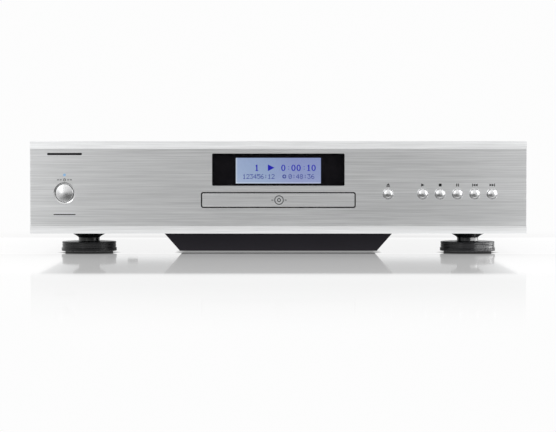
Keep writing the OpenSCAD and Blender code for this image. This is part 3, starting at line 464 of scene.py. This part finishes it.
foot_gloss = plastic("foot_gloss", (0.007, 0.007, 0.008), 0.24, 0.0008, 0.06, coat=0.15)
rubber = plastic("pad_rubber", (0.016, 0.016, 0.016), 0.8, 0.0003, 0.5)
brass = turned("pulley_brass", (0.75, 0.56, 0.26), 0.25)
motor_can = brushed("motor_steel", (0.6, 0.61, 0.63), 0.28, "z")
casting = painted("traverse_casting", (0.32, 0.33, 0.35), 0.5, 0.0009, 0.8, 0.0001, 0.6)
chrome = brushed("rod_steel", (0.82, 0.82, 0.83), 0.12, "y", 0.97, 1.02)
lens_glass = lamp("lens_glass", (0.05, 0.10, 0.2), 0.0)
tape = wound_tape("winding_tape", centre_of("transformer"))
clamp_paint = painted("clamp_paint", (0.07, 0.072, 0.08), 0.4, 0.0006)
sleeve = plastic("capacitor_sleeve", (0.015, 0.022, 0.09), 0.25, 0.002, 0.1, coat=0.5)
epoxy = plastic("chip_epoxy", (0.02, 0.02, 0.022), 0.55, 0.0003, 0.5)
inlet_plastic = plastic("inlet_plastic", (0.018, 0.018, 0.02), 0.42, 0.0004, 0.3)
gold = turned("jack_gold", (0.9, 0.66, 0.28), 0.16)
cable = plastic("cable_vinyl", (0.5, 0.51, 0.53), 0.45, 0.0012, 0.4)
black_ink = ink("black_ink", (0.012, 0.012, 0.014))
grey_ink = ink("grey_ink", (0.10, 0.105, 0.11))
white_ink = ink("white_ink", (0.6, 0.6, 0.6))
lcd_dark = ink("lcd_segments", (0.01, 0.01, 0.10), 0.4)
lcd_pale = ink("lcd_small_segments", (0.01, 0.012, 0.08), 0.4)


# the back light shows through the display's segments, and two black parts shine less than plastic does
for material, color in ((lcd_dark, (0.020, 0.018, 0.46)), (lcd_pale, (0.035, 0.055, 0.30))):
    shader = material.node_tree.nodes["Principled BSDF"]
    shader.inputs["Emission Color"].default_value = (*color, 1)
    shader.inputs["Emission Strength"].default_value = 1.0
for material, level in ((trim_paint, 0.22), (foot_gloss, 0.32)):
    material.node_tree.nodes["Principled BSDF"].inputs["Specular IOR Level"].default_value = level

CAD_MATERIALS = {
    "front_panel": face_metal, "tray_door": face_metal,
    "front_bracket": zinc, "base_pan": zinc, "mechanism_stands": zinc, "clamp_bridge": zinc,
    "top_cover": silver_paint, "rear_panel": black_paint, "lower_trim": trim_paint,
    "display_window": window, "display_mask": mask_ink, "lcd_module": display,
    "display_board": boards, "button_board": boards, "supply_board": boards, "main_board": boards,
    "power_led": led_lens, "power_switch": black_plastic, "tact_switches": black_plastic,
    "case_screws": screw_black, "mechanism_screws": screw_steel, "foot_screws": screw_steel,
    "rear_left_foot": foot_gloss, "rear_right_foot": foot_gloss, "foot_pads": rubber,
    "disc_tray": tray_plastic, "loader_frame": loader_plastic, "disc_clamp": loader_plastic,
    "pickup_sled": loader_plastic, "drive_gear": acetal, "pulley_gear": acetal,
    "lift_slider": acetal, "feed_gear": acetal, "feed_pinion": acetal, "motor_pulley": brass,
    "loading_belt": rubber, "loading_motor": motor_can, "spindle_motor": motor_can,
    "feed_motor": motor_can, "traverse_frame": casting, "turntable": rubber,
    "guide_rods": chrome, "objective_lens": lens_glass, "transformer": tape,
    "transformer_clamp": clamp_paint, "supply_capacitors": sleeve, "main_board_chips": epoxy,
    "mains_inlet": inlet_plastic, "control_sockets": inlet_plastic, "ribbon_cables": cable,
}
for node, material in CAD_MATERIALS.items():
    made = nodes[node]
    made.data.materials.clear()
    made.data.materials.append(material)

# ---------------------------------------------------------------- edges that catch the light
def soften(node, width_mm, degrees=50, segments=2):
    """Rounds a CAD part's sharp edges as seen, with a modifier that leaves its mesh as it is."""
    bevel = nodes[node].modifiers.new("edge", "BEVEL")
    bevel.width = width_mm * MM
    bevel.segments = segments
    bevel.limit_method = "ANGLE"
    bevel.angle_limit = math.radians(degrees)
    bevel.use_clamp_overlap = True


for node, width_mm in (("front_panel", 0.22), ("tray_door", 0.2), ("top_cover", 0.5), ("lower_trim", 0.35),
                       ("disc_tray", 0.25), ("rear_panel", 0.15)):
    soften(node, width_mm)

# ---------------------------------------------------------------- camera, floor and light
EYE_X, EYE_DISTANCE, EYE_HEIGHT = -0.0003, 1.75, 0.0938
LENS_MM, SENSOR_MM, LOOK_DOWN_DEG = 131.0, 36.0, 1.98
camera_data = bpy.data.cameras.new("camera")
camera_data.lens = LENS_MM
camera_data.sensor_width = SENSOR_MM
camera = bpy.data.objects.new("camera", camera_data)
camera.location = (EYE_X, face_y - EYE_DISTANCE, EYE_HEIGHT)
camera.rotation_euler = (math.radians(90 - LOOK_DOWN_DEG), 0, 0)
bpy.context.scene.collection.objects.link(camera)
bpy.context.scene.camera = camera

WHITE = 0.98
# how much of the floor's light a shadow takes, and how far off in metres its cause may be
SOFT_SHADOW, SOFT_REACH = 0.6, 0.22
CONTACT_SHADOW, CONTACT_REACH = 0.8, 0.005
FLOOR_SIZE, FLOOR_POLISH = 120, 0.05
# what the metal sees of the floor: just in front of the case, further off in the middle and at the sides, and
# the share that is left beneath the case, where the floor's light is dimmed as a painted shadow of the case
FLOOR_NEAR, FLOOR_MIDDLE, FLOOR_SIDES, UNDER_CASE_SHADE = 1.12, 0.14, 0.6, 0.2
# what the metal sees of the studio: in front, along the slope from its dark end to its light end, and all round
SLOPE = (-0.62, 0.0, 0.62)
FRONT_DARK, FRONT_LIGHT, AROUND = 0.10, 0.83, 1.03


class Floor(Nodes):
    """The floor's material, with its place to the side (x, either way) and to the back (y)."""

    def __init__(self):
        self.material = bpy.data.materials.new("floor_pale")
        self.material.use_nodes = True
        super().__init__(self.material.node_tree)
        self.tree.nodes.clear()
        where = self.node("ShaderNodeNewGeometry")
        parts = self.node("ShaderNodeSeparateXYZ")
        self.link(where.outputs["Position"], parts.inputs["Vector"])
        self.x = self.math("ABSOLUTE", parts.outputs["X"])
        self.y = parts.outputs["Y"]

    def times(self, *values):
        total = values[0]
        for value in values[1:]:
            total = self.math("MULTIPLY", total, value)
        return total

    def shadow(self, reach, depth):
        """What stands within reach takes up to depth of the light."""
        made = self.node("ShaderNodeAmbientOcclusion", samples=16, Distance=reach)
        return self.math("ADD", 1 - depth, self.times(made.outputs["AO"], depth))


def make_floor():
    """A pale polished floor with contact shadows; what the metal mirrors is a pool of light near it."""
    bpy.ops.mesh.primitive_grid_add(x_subdivisions=8, y_subdivisions=8, size=FLOOR_SIZE, location=(0, 0, 0))
    made = bpy.context.object
    made.name = "floor"
    f = Floor()
    base = f.node("ShaderNodeEmission")
    contact = f.shadow(CONTACT_REACH, CONTACT_SHADOW)
    f.link(f.times(f.shadow(SOFT_REACH, SOFT_SHADOW), contact, WHITE), base.inputs["Strength"])
    polish = f.node("ShaderNodeBsdfGlossy", Roughness=FLOOR_POLISH)
    f.link(contact, polish.inputs["Color"])

    # the polish shows at grazing angles, most of all close to the object, and fades out away from it
    grazing = f.node("ShaderNodeLayerWeight")
    share = f.times(f.fade(f.y, face_y - 0.28, face_y - 0.25, 0.25, 0.68),
                    f.fade(f.y, face_y, face_y + 0.01, 1.0, 1.45),
                    f.fade(f.y, face_y - 0.75, face_y - 0.27, 0.0, 1.0),
                    f.fade(f.y, 0.15, 0.2, 1.0, 0.0),
                    f.fade(f.x, 0.28, 0.36, 1.0, 0.0),
                    f.math("POWER", grazing.outputs["Facing"], 4.0))
    to_camera = f.mix_shaders(share, base.outputs["Emission"], polish.outputs["BSDF"])

    to_metal = f.node("ShaderNodeEmission")
    near = f.fade(f.y, face_y - 0.065, face_y - 0.025, 0.0, 1.0)
    far = f.fade(f.x, 0.17, 0.30, FLOOR_MIDDLE, FLOOR_SIDES)
    pool = f.math("ADD", f.times(near, FLOOR_NEAR), f.times(f.math("SUBTRACT", 1.0, near), far))
    # painted shadow: the floor's light is dimmed beneath the case, where the case would shade it
    case_shade_mask = f.times(f.fade(f.x, 0.15, 0.26, 1.0, 0.0), f.fade(f.math("ABSOLUTE", f.y), 0.10, 0.165, 1.0, 0.0))
    f.link(f.times(pool, f.fade(case_shade_mask, 0.0, 1.0, 1.0, UNDER_CASE_SHADE)), to_metal.inputs["Strength"])

    path = f.node("ShaderNodeLightPath")
    out = f.node("ShaderNodeOutputMaterial")
    f.link(f.mix_shaders(path.outputs["Is Camera Ray"], to_metal.outputs["Emission"], to_camera),
           out.inputs["Surface"])
    made.data.materials.append(f.material)
    return made


def make_world():
    """White backdrop; what the metal mirrors in front is a soft slope, bright at the upper left."""
    world = bpy.data.worlds.new("studio")
    bpy.context.scene.world = world
    world.use_nodes = True
    w = Nodes(world.node_tree)
    w.tree.nodes.clear()
    seen = w.node("ShaderNodeBackground", Color=(1, 1, 1, 1), Strength=WHITE)
    studio = w.node("ShaderNodeBackground", Color=(1, 1, 1, 1))
    coords = w.node("ShaderNodeTexCoord").outputs["Generated"]
    parts = w.node("ShaderNodeSeparateXYZ")
    w.link(coords, parts.inputs["Vector"])
    slope = w.node("ShaderNodeVectorMath", operation="DOT_PRODUCT")
    w.link(coords, slope.inputs[0])
    slope.inputs[1].default_value = SLOPE
    mix = w.node("ShaderNodeMix")
    w.link(w.fade(parts.outputs["Y"], -0.75, -0.2, 0.0, 1.0), mix.inputs["Factor"])
    w.link(w.fade(slope.outputs["Value"], -0.75, 0.25, FRONT_DARK, FRONT_LIGHT), mix.inputs["A"])
    mix.inputs["B"].default_value = AROUND
    w.link(mix.outputs["Result"], studio.inputs["Strength"])
    path = w.node("ShaderNodeLightPath")
    out = w.node("ShaderNodeOutputWorld")
    w.link(w.mix_shaders(path.outputs["Is Camera Ray"], studio.outputs["Background"], seen.outputs["Background"]),
           out.inputs["Surface"])


def area_light(name, place, target, size, power, lit=None):
    """A soft card. It lights everything but the floor, or only what is in the collection lit."""
    data = bpy.data.lights.new(name, "AREA")
    data.shape = "RECTANGLE"
    data.size, data.size_y = size
    data.energy = power
    made = bpy.data.objects.new(name, data)
    made.location = place
    made.rotation_euler = (Vector(target) - Vector(place)).to_track_quat("-Z", "Y").to_euler()
    bpy.context.scene.collection.objects.link(made)
    made.light_linking.receiver_collection = lit or unlit
    made.visible_camera = False


floor = make_floor()
unlit = bpy.data.collections.new("not_lit_by_cards")
unlit.objects.link(floor)
unlit.collection_objects[0].light_linking.link_state = "EXCLUDE"
make_world()
# name, place, what it faces, width and height, watts
for card in (("key", (-1.3, -1.5, 1.15), (0, 0, 0.05), (1.1, 0.8), 4.2),
             ("top", (0.2, -0.2, 1.7), (0, 0, 0), (1.6, 1.2), 7),
             ("right_card", (0.56, -0.40, 0.15), (0.17, -0.157, 0.03), (0.3, 0.5), 1.3),
             ("left_card", (-0.66, -1.3, 0.30), (-0.1, -0.15, 0.05), (0.22, 0.8), 0.6)):
    area_light(*card)
bpy.context.scene.view_settings.view_transform = "Standard"

# ---------------------------------------------------------------- buttons
KEYS = ("eject", "play", "stop", "pause", "previous", "next")
PANEL_BACK, SIDE_PROUD = 8 * MM, 0.35 * MM
DOME_STEPS, EDGE_STEPS = 14, 6
# millimetres: cap, rounding of its edge, flange, stem, and the hole's radius, chamfer width and depth
POWER_SIZE = (15.0, 0.55, 18.6, 6.0, 8.2, 1.1, 0.4)
KEY_SIZE = (7.8, 0.35, 10.4, 3.5, 4.3, 0.5, 0.25)


def button_profile(r, edge, proud, stem_end, flange_r, stem_r):
    """From the dome's tip back to the stem's end, as (radius, distance along +Y)."""
    dome_h = proud - SIDE_PROUD - edge
    ball = (r * r + dome_h * dome_h) / (2 * dome_h)
    arc = math.asin((r - edge) / ball)
    points = []
    for i in range(DOME_STEPS + 1):
        a = arc * i / DOME_STEPS
        points.append((ball * math.sin(a), face_y - proud + ball * (1 - math.cos(a))))
    x0, y0 = points[-1]
    for i in range(1, EDGE_STEPS + 1):
        a = math.tau / 4 * i / EDGE_STEPS
        points.append((x0 + (r - x0) * math.sin(a), y0 + edge * (1 - math.cos(a))))
    back = face_y + PANEL_BACK
    points += [(r, back - 0.3 * MM), (r, back + 0.2 * MM), (flange_r, back + 0.2 * MM),
               (flange_r, back + 1.5 * MM), (stem_r, back + 1.5 * MM), (stem_r, stem_end), (0, stem_end)]
    return points


def make_button(node, body, size):
    """A turned cap with its flange and stem, in place of the CAD button."""
    cap, edge, flange, stem = (value * MM for value in size[:4])
    low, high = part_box(node)
    middle = centre_of(node)
    profile = button_profile(cap / 2, edge, face_y - low.y, high.y, flange / 2, stem / 2)
    new_object(node + "_cap", lathe(node + "_cap", profile, "y"), button_metal, body, [node],
               (middle.x, 0, middle.z), 40)


make_button("power_button", "power_key", POWER_SIZE)
for word in KEYS:
    make_button(word + "_button", word + "_key", KEY_SIZE)


def chamfer_rings(name, places, steps=72):
    """Polished chamfers round the button holes, a hair proud of the panel's own."""
    bm = bmesh.new()
    lift, rim = 0.03 * MM, 0.12 * MM
    turns = [(math.cos(math.tau * i / steps), math.sin(math.tau * i / steps)) for i in range(steps)]
    for x, z, inner, width, depth in places:
        outer = inner + width
        profile = [(inner, depth - lift), (outer, -lift), (outer + rim, -lift), (outer + rim, 0.05 * MM),
                   (outer, 0.06 * MM), (inner, depth + 0.08 * MM)]
        rings = [[bm.verts.new((x + r * c, face_y + y, z + r * d)) for c, d in turns] for r, y in profile]
        for a, b in zip(rings, rings[1:] + rings[:1]):
            for i in range(steps):
                j = (i + 1) % steps
                bm.faces.new((a[i], a[j], b[j], b[i]))
    return to_mesh(bm, name, smooth=True)


places = []
for node, size in [("power_button", POWER_SIZE)] + [(word + "_button", KEY_SIZE) for word in KEYS]:
    middle = centre_of(node)
    places.append((middle.x, middle.z, *(value * MM for value in size[4:])))
new_object("button_chamfers", chamfer_rings("button_chamfers", places), chamfer_metal, "case",
           sharp_degrees=15)

# ---------------------------------------------------------------- printed marks on the face
INK, SUNK = 0.03 * MM, 0.02 * MM
key_x = [centre_of(word + "_button").x for word in KEYS]
ICON_Z, HALF_ICON = 60.1 * MM, 1.2 * MM


def printed(name, outlines, y, ink_material, body="case"):
    """Ink that stands INK proud of a face at y and is SUNK into it."""
    new_object(name, flat_prisms(name, outlines, y - INK, INK + SUNK), ink_material, body)


def triangle(cx, cz, half_w, half_h, right=True):
    """An arrowhead's corners, pointing right or left."""
    sign = 1 if right else -1
    return [(cx - sign * half_w, cz - half_h), (cx + sign * half_w, cz), (cx - sign * half_w, cz + half_h)]


icons = []
ex, px, sx, ux, bx, nx = key_x
icons.append([(ex - 1.5 * MM, ICON_Z - 0.3 * MM), (ex + 1.5 * MM, ICON_Z - 0.3 * MM), (ex, ICON_Z + 1.5 * MM)])
icons.append(bar(ex - 1.5 * MM, ex + 1.5 * MM, ICON_Z - 1.4 * MM, ICON_Z - 0.65 * MM))
icons.append(triangle(px, ICON_Z, 1.5 * MM, HALF_ICON * 1.1))
icons.append(bar(sx - HALF_ICON, sx + HALF_ICON, ICON_Z - HALF_ICON, ICON_Z + HALF_ICON))
for offset in (-0.75, 0.75):
    icons.append(bar(ux + (offset - 0.42) * MM, ux + (offset + 0.42) * MM, ICON_Z - HALF_ICON, ICON_Z + HALF_ICON))
for cx, right in ((bx, False), (nx, True)):
    sign = 1 if right else -1
    icons.append(triangle(cx - sign * 1.35 * MM, ICON_Z, 1.0 * MM, HALF_ICON, right))
    icons.append(triangle(cx + sign * 0.65 * MM, ICON_Z, 1.0 * MM, HALF_ICON, right))
    edge = cx + sign * 2.0 * MM
    icons.append(bar(edge - 0.35 * MM, edge + 0.35 * MM, ICON_Z - HALF_ICON, ICON_Z + HALF_ICON))
printed("transport_icons", icons, face_y, black_ink)

power = centre_of("power_button")
symbol_z, DASH = 64.6 * MM, 1.7 * MM
symbol = ring_outlines(power.x, symbol_z, 1.25 * MM, 0.8 * MM, 28, 120, 420)
symbol.append(bar(power.x - 0.2 * MM, power.x + 0.2 * MM, symbol_z + 0.1 * MM, symbol_z + 1.45 * MM))
for side in (-1, 1):
    for k in range(2):
        start = power.x + side * (2.4 + 2.3 * k) * MM
        x0, x1 = sorted((start, start + side * DASH))
        symbol.append(bar(x0, x1, symbol_z - 0.32 * MM, symbol_z + 0.32 * MM))
printed("power_symbol", symbol, face_y, black_ink)

marks = [rounded(30.2 * MM, 1.9 * MM, 0.9 * MM, -184.9 * MM, 86.9 * MM),
         rounded(19 * MM, 0.8 * MM, 0.35 * MM, -185 * MM, 34.6 * MM)]
printed("plain_bars", marks, face_y, black_ink)

DISC_X, door_z = 0.6 * MM, (door_low.z + door_high.z) / 2
disc_mark = ring_outlines(DISC_X, door_z, 4.1 * MM, 3.3 * MM, 48)
disc_mark += ring_outlines(DISC_X, door_z, 1.7 * MM, 0.9 * MM, 32)
for side in (-1, 1):
    disc_mark.append(rounded(2.0 * MM, 0.7 * MM, 0.3 * MM, DISC_X + side * 5.7 * MM, door_z))
printed("disc_mark", disc_mark, door_low.y, grey_ink, "tray")

# ---------------------------------------------------------------- window
def bevelled_slab(name, width, height, radius, y_front, y_back, bevel, cz):
    """A plate in the X Z plane with round corners and a small bevel round its front edge."""
    bm = bmesh.new()
    rings = []
    for inset, y in ((bevel, y_front), (bevel * 0.3, y_front + bevel * 0.3), (0, y_front + bevel), (0, y_back)):
        outline = rounded(width - 2 * inset, height - 2 * inset, radius - inset * 0.5, 0, cz)
        rings.append([bm.verts.new((x, y, z)) for x, z in outline])
    bm.faces.new(rings[0])
    bm.faces.new(rings[-1][::-1])
    for a, b in zip(rings, rings[1:]):
        for i in range(len(a)):
            j = (i + 1) % len(a)
            bm.faces.new((a[j], a[i], b[i], b[j]))
    return to_mesh(bm, name)


FLANGE, PANE_RADIUS, PANE_BEVEL, MASK_GAP = 3.15 * MM, 0.9 * MM, 0.25 * MM, 0.15 * MM
pane = bevelled_slab("window_pane", window_high.x - window_low.x - 2 * FLANGE,
                     window_high.z - window_low.z - 2 * FLANGE, PANE_RADIUS, window_low.y,
                     mask_y - MASK_GAP, PANE_BEVEL, (window_low.z + window_high.z) / 2)
new_object("window_pane", pane, window, "case", ["display_window"])

# ---------------------------------------------------------------- display
DOTS = {
    "0": "01110 10001 10011 10101 11001 10001 01110", "1": "00100 01100 00100 00100 00100 00100 01110",
    "2": "01110 10001 00001 00010 00100 01000 11111", "3": "11111 00010 00100 00010 00001 10001 01110",
    "4": "00010 00110 01010 10010 11111 00010 00010", "5": "11111 10000 11110 00001 00001 10001 01110",
    "6": "00110 01000 10000 11110 10001 10001 01110", "8": "01110 10001 10001 01110 10001 10001 01110",
    ":": "00000 00100 00100 00000 00100 00100 00000", "o": "00000 01110 11011 10001 11011 01110 00000",
}


def dot_text(text, x, z, pitch, dot_w, dot_h, fill):
    """Squares of a 5 by 7 dot matrix, the first character centred at x."""
    out = []
    for index, letter in enumerate(text):
        for row, line in enumerate(DOTS[letter].split()):
            for column, dot in enumerate(line):
                if dot == "1":
                    cx = x + index * pitch + (column - 2) * dot_w
                    cz = z + (3 - row) * dot_h
                    out.append(bar(cx - dot_w * fill / 2, cx + dot_w * fill / 2,
                                   cz - dot_h * fill / 2, cz + dot_h * fill / 2))
    return out


def big_zero(x, z, steps=36):
    """A zero drawn as an upright ring, thicker at its sides."""
    outer, inner = (1.85 * MM, 2.75 * MM), (0.85 * MM, 2.05 * MM)
    out = []
    for i in range(steps):
        a, b = math.tau * i / steps, math.tau * (i + 1) / steps
        out.append([(x + w * math.cos(t), z + h * math.sin(t))
                    for (w, h), t in ((outer, a), (outer, b), (inner, b), (inner, a))])
    return out


def big_one(x, z):
    """A one with a flag and a foot."""
    return [bar(x - 0.5 * MM, x + 0.55 * MM, z - 2.7 * MM, z + 2.7 * MM),
            [(x - 1.3 * MM, z + 1.35 * MM), (x - 0.5 * MM, z + 1.35 * MM), (x - 0.5 * MM, z + 2.6 * MM)],
            bar(x - 1.2 * MM, x - 0.5 * MM, z - 2.7 * MM, z - 2.1 * MM),
            bar(x + 0.55 * MM, x + 1.25 * MM, z - 2.7 * MM, z - 2.1 * MM)]


def big_colon(x, z):
    """Two dots."""
    return [bar(x - 0.3 * MM, x + 0.3 * MM, z + (h - 0.35) * MM, z + (h + 0.35) * MM) for h in (-1.1, 1.1)]


BIG_Z, SMALL_Z = 74.9 * MM, 67.4 * MM
big = big_one(-18.7 * MM, BIG_Z)
big.append(triangle(-6.2 * MM, BIG_Z + 0.1 * MM, 2.9 * MM, 2.9 * MM))
for kind, x in zip((big_zero, big_colon, big_zero, big_zero, big_colon, big_one, big_zero),
                   (4.3, 9.0, 13.1, 17.6, 22.4, 26.4, 30.6)):
    big += kind(x * MM, BIG_Z)
DIGIT_Y, DIGIT_DEPTH = lcd_low.y - 0.05 * MM, 0.03 * MM
new_object("display_digits", flat_prisms("display_digits", big, DIGIT_Y, DIGIT_DEPTH), lcd_dark, "case")
small = dot_text("123456:12", -29.6 * MM, SMALL_Z, 3.12 * MM, 0.55 * MM, 0.58 * MM, 0.98)
small += dot_text("o", 5.2 * MM, SMALL_Z, 0, 0.66 * MM, 0.66 * MM, 1.0)
small += dot_text("0:48:36", 10.3 * MM, SMALL_Z, 3.25 * MM, 0.55 * MM, 0.58 * MM, 0.98)
new_object("display_small_digits", flat_prisms("display_small_digits", small, DIGIT_Y, DIGIT_DEPTH), lcd_pale,
           "case")

# ---------------------------------------------------------------- front feet
FLARE_STEPS = 8


def foot_profile(low, high):
    """A turned foot: pad seat, rim with fine grooves, disc with grooves, waist and a flare up to the case."""
    base, top, rim = low.z, high.z, (high.x - low.x) / 2

    def at(radius, height):
        return (radius, base + height * MM)

    points = [at(2.4 * MM, 2.5), at(5 * MM, 2.5), at(5 * MM, 0), at(21.4 * MM, 0), at(21.7 * MM, 0.15),
              at(21.8 * MM, 0.4), at(rim - 0.5 * MM, 0.45), at(rim - 0.12 * MM, 0.58), at(rim, 0.85)]
    for k in range(3):
        height = 1.15 + 0.65 * k
        points += [at(rim, height), at(rim - 0.22 * MM, height + 0.12), at(rim - 0.22 * MM, height + 0.24),
                   at(rim, height + 0.36)]
    points += [at(rim, 3.1), at(rim - 0.3 * MM, 3.35), at(rim - 0.95 * MM, 3.5), at(rim - 0.95 * MM, 3.7)]
    disc = rim - 0.5 * MM
    for k in range(3):
        for inset, up in ((0.5, 0), (0.42, 0.14), (0.08, 0.3), (0, 0.5), (0, 0.8), (0.08, 1.02), (0.42, 1.18),
                          (0.5, 1.26)):
            points.append(at(disc - inset * MM, 3.85 + 1.38 * k + up))
    points += [at(disc, 8.05), at(disc, 8.3), at(disc - 0.12 * MM, 8.5), at(disc - 0.4 * MM, 8.6),
               at(15 * MM, 8.6), at(10.6 * MM, 8.62), at(9.75 * MM, 8.8), at(9.4 * MM, 9.2), at(9.3 * MM, 9.8)]
    for i in range(FLARE_STEPS + 1):
        t = i / FLARE_STEPS
        points.append(at((9.3 + 5.4 * t ** 1.3) * MM, 12.2 + 3.4 * t))
    points += [(14.7 * MM, top - 0.3 * MM), (14.5 * MM, top), (2.4 * MM, top)]
    return points


for name in ("front_left_foot", "front_right_foot"):
    middle = centre_of(name)
    mesh = lathe(name + "_turned", foot_profile(*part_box(name)), "z", 128)
    foot = new_object(name + "_turned", mesh, foot_gloss, "case", [name], (middle.x, middle.y, 0), 30)

right_foot_only = bpy.data.collections.new("lit_by_foot_card")
right_foot_only.objects.link(foot)
area_light("foot_card", (0.39, -0.27, 0.06), (0.17, -0.27, 0.03), (0.6, 0.2), 4.4, right_foot_only)

# ---------------------------------------------------------------- rear sockets
def outward(profile, y0):
    """A lathe profile in metres from one in millimetres, given as (radius, distance behind y0)."""
    return [(radius * MM, y0 + y * MM) for radius, y in profile]


def cubes(name, places, size, offset, segments):
    """Boxes of one size in millimetres, with rounded edges, about these places."""
    bm = bmesh.new()
    for place in places:
        made = bmesh.ops.create_cube(bm, size=1, matrix=Matrix.Diagonal((*(value * MM for value in size), 1)))
        bmesh.ops.translate(bm, verts=made["verts"], vec=place)
    bmesh.ops.bevel(bm, geom=bm.edges[:], offset=offset, segments=segments, affect="EDGES")
    return to_mesh(bm, name)


rear_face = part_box("rear_panel")[1].y
jack_low, jack_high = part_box("signal_jacks")
jack_z = (jack_low.z + jack_high.z) / 2
SHELL = [(3.42, -4.2), (5, -4.2), (5, 0.02), (6.6, 0.02), (6.75, 0.16), (6.75, 1.2), (6.6, 1.4), (4.5, 1.4),
         (4.15, 1.75), (4.15, 3.1), (4.02, 3.25), (4.02, 3.55), (4.15, 3.7), (4.15, 8.6), (4.05, 8.85), (3.85, 9.0),
         (3.6, 9.0), (3.42, 8.8)]
SLEEVE = [(1.62, -1.2), (3.4, -1.2), (3.4, 7.9), (3.25, 8.1), (2.3, 8.2), (1.9, 8.2), (1.62, 7.95)]
CONTACT = [(1.2, -1.1), (1.58, -1.1), (1.58, 7.6), (1.45, 7.75), (1.2, 7.6)]
SHELL_R = 6.6 * MM
JACKS = (("analogue_left", jack_high.x - SHELL_R, "white", (0.72, 0.72, 0.70)),
         ("analogue_right", jack_high.x - SHELL_R - 20 * MM, "red", (0.42, 0.02, 0.02)),
         ("digital", jack_high.x - SHELL_R - 50 * MM, "orange", (0.62, 0.2, 0.02)))
for name, x, word, color in JACKS:
    sleeve_plastic = plastic("sleeve_" + word, color, 0.35, 0.0006, 0.15, 0.93, 1.04)
    for part, profile, material, slot_name in (("shell", SHELL, gold, "jack_gold"),
                                               ("sleeve", SLEEVE, sleeve_plastic, "gear_acetal"),
                                               ("contact", CONTACT, gold, "jack_gold")):
        mesh = lathe(f"{name}_{part}", outward(profile + profile[:1], rear_face), "y", 64)
        new_object(f"{name}_{part}", mesh, material, "case", ["signal_jacks"], (x, 0, jack_z), 30)
    mesh = cubes(name + "_housing", [(x, rear_face - 11.2 * MM, jack_z)], (12, 14, 14), 0.5 * MM, 2)
    new_object(name + "_housing", mesh, black_plastic, "case", ["signal_jacks"])

inlet = centre_of("mains_inlet")
pins = [(inlet.x + dx * MM, rear_face - 9.68 * MM, inlet.z + dz * MM) for dx, dz in ((0, 3.4), (-7, -3.4), (7, -3.4))]
new_object("inlet_pins", cubes("inlet_pins", pins, (2.06, 13.4, 4.06), 0.4 * MM, 3), chrome, "case")

# printed lines on the rear panel that group the sockets
left_x, right_x, digital_x = (jack[1] for jack in JACKS)
rear_marks = []
for x in (left_x, right_x, digital_x):
    rear_marks += ring_outlines(x, jack_z, 8.35 * MM, 8.05 * MM, 64)
for x0, x1 in ((right_x - 9 * MM, left_x + 9 * MM), (digital_x - 9 * MM, digital_x + 9 * MM)):
    rear_marks.append(bar(x0, x1, jack_z - 13.2 * MM, jack_z - 12.9 * MM))
    for x in (x0, x1):
        rear_marks.append(bar(x - 0.15 * MM, x + 0.15 * MM, jack_z - 13.2 * MM, jack_z - 11.4 * MM))
sockets_low, sockets_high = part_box("control_sockets")
rear_marks.append(bar(sockets_low.x - 1 * MM, sockets_high.x + 1 * MM,
                      sockets_low.z - 3.2 * MM, sockets_low.z - 2.9 * MM))
rear_marks.append(rounded(7 * MM, 1.6 * MM, 0.4 * MM, inlet.x, inlet.z - 16 * MM))
mesh = flat_prisms("rear_marks", rear_marks, rear_face - SUNK, INK + SUNK)
new_object("rear_marks", mesh, white_ink, "case")
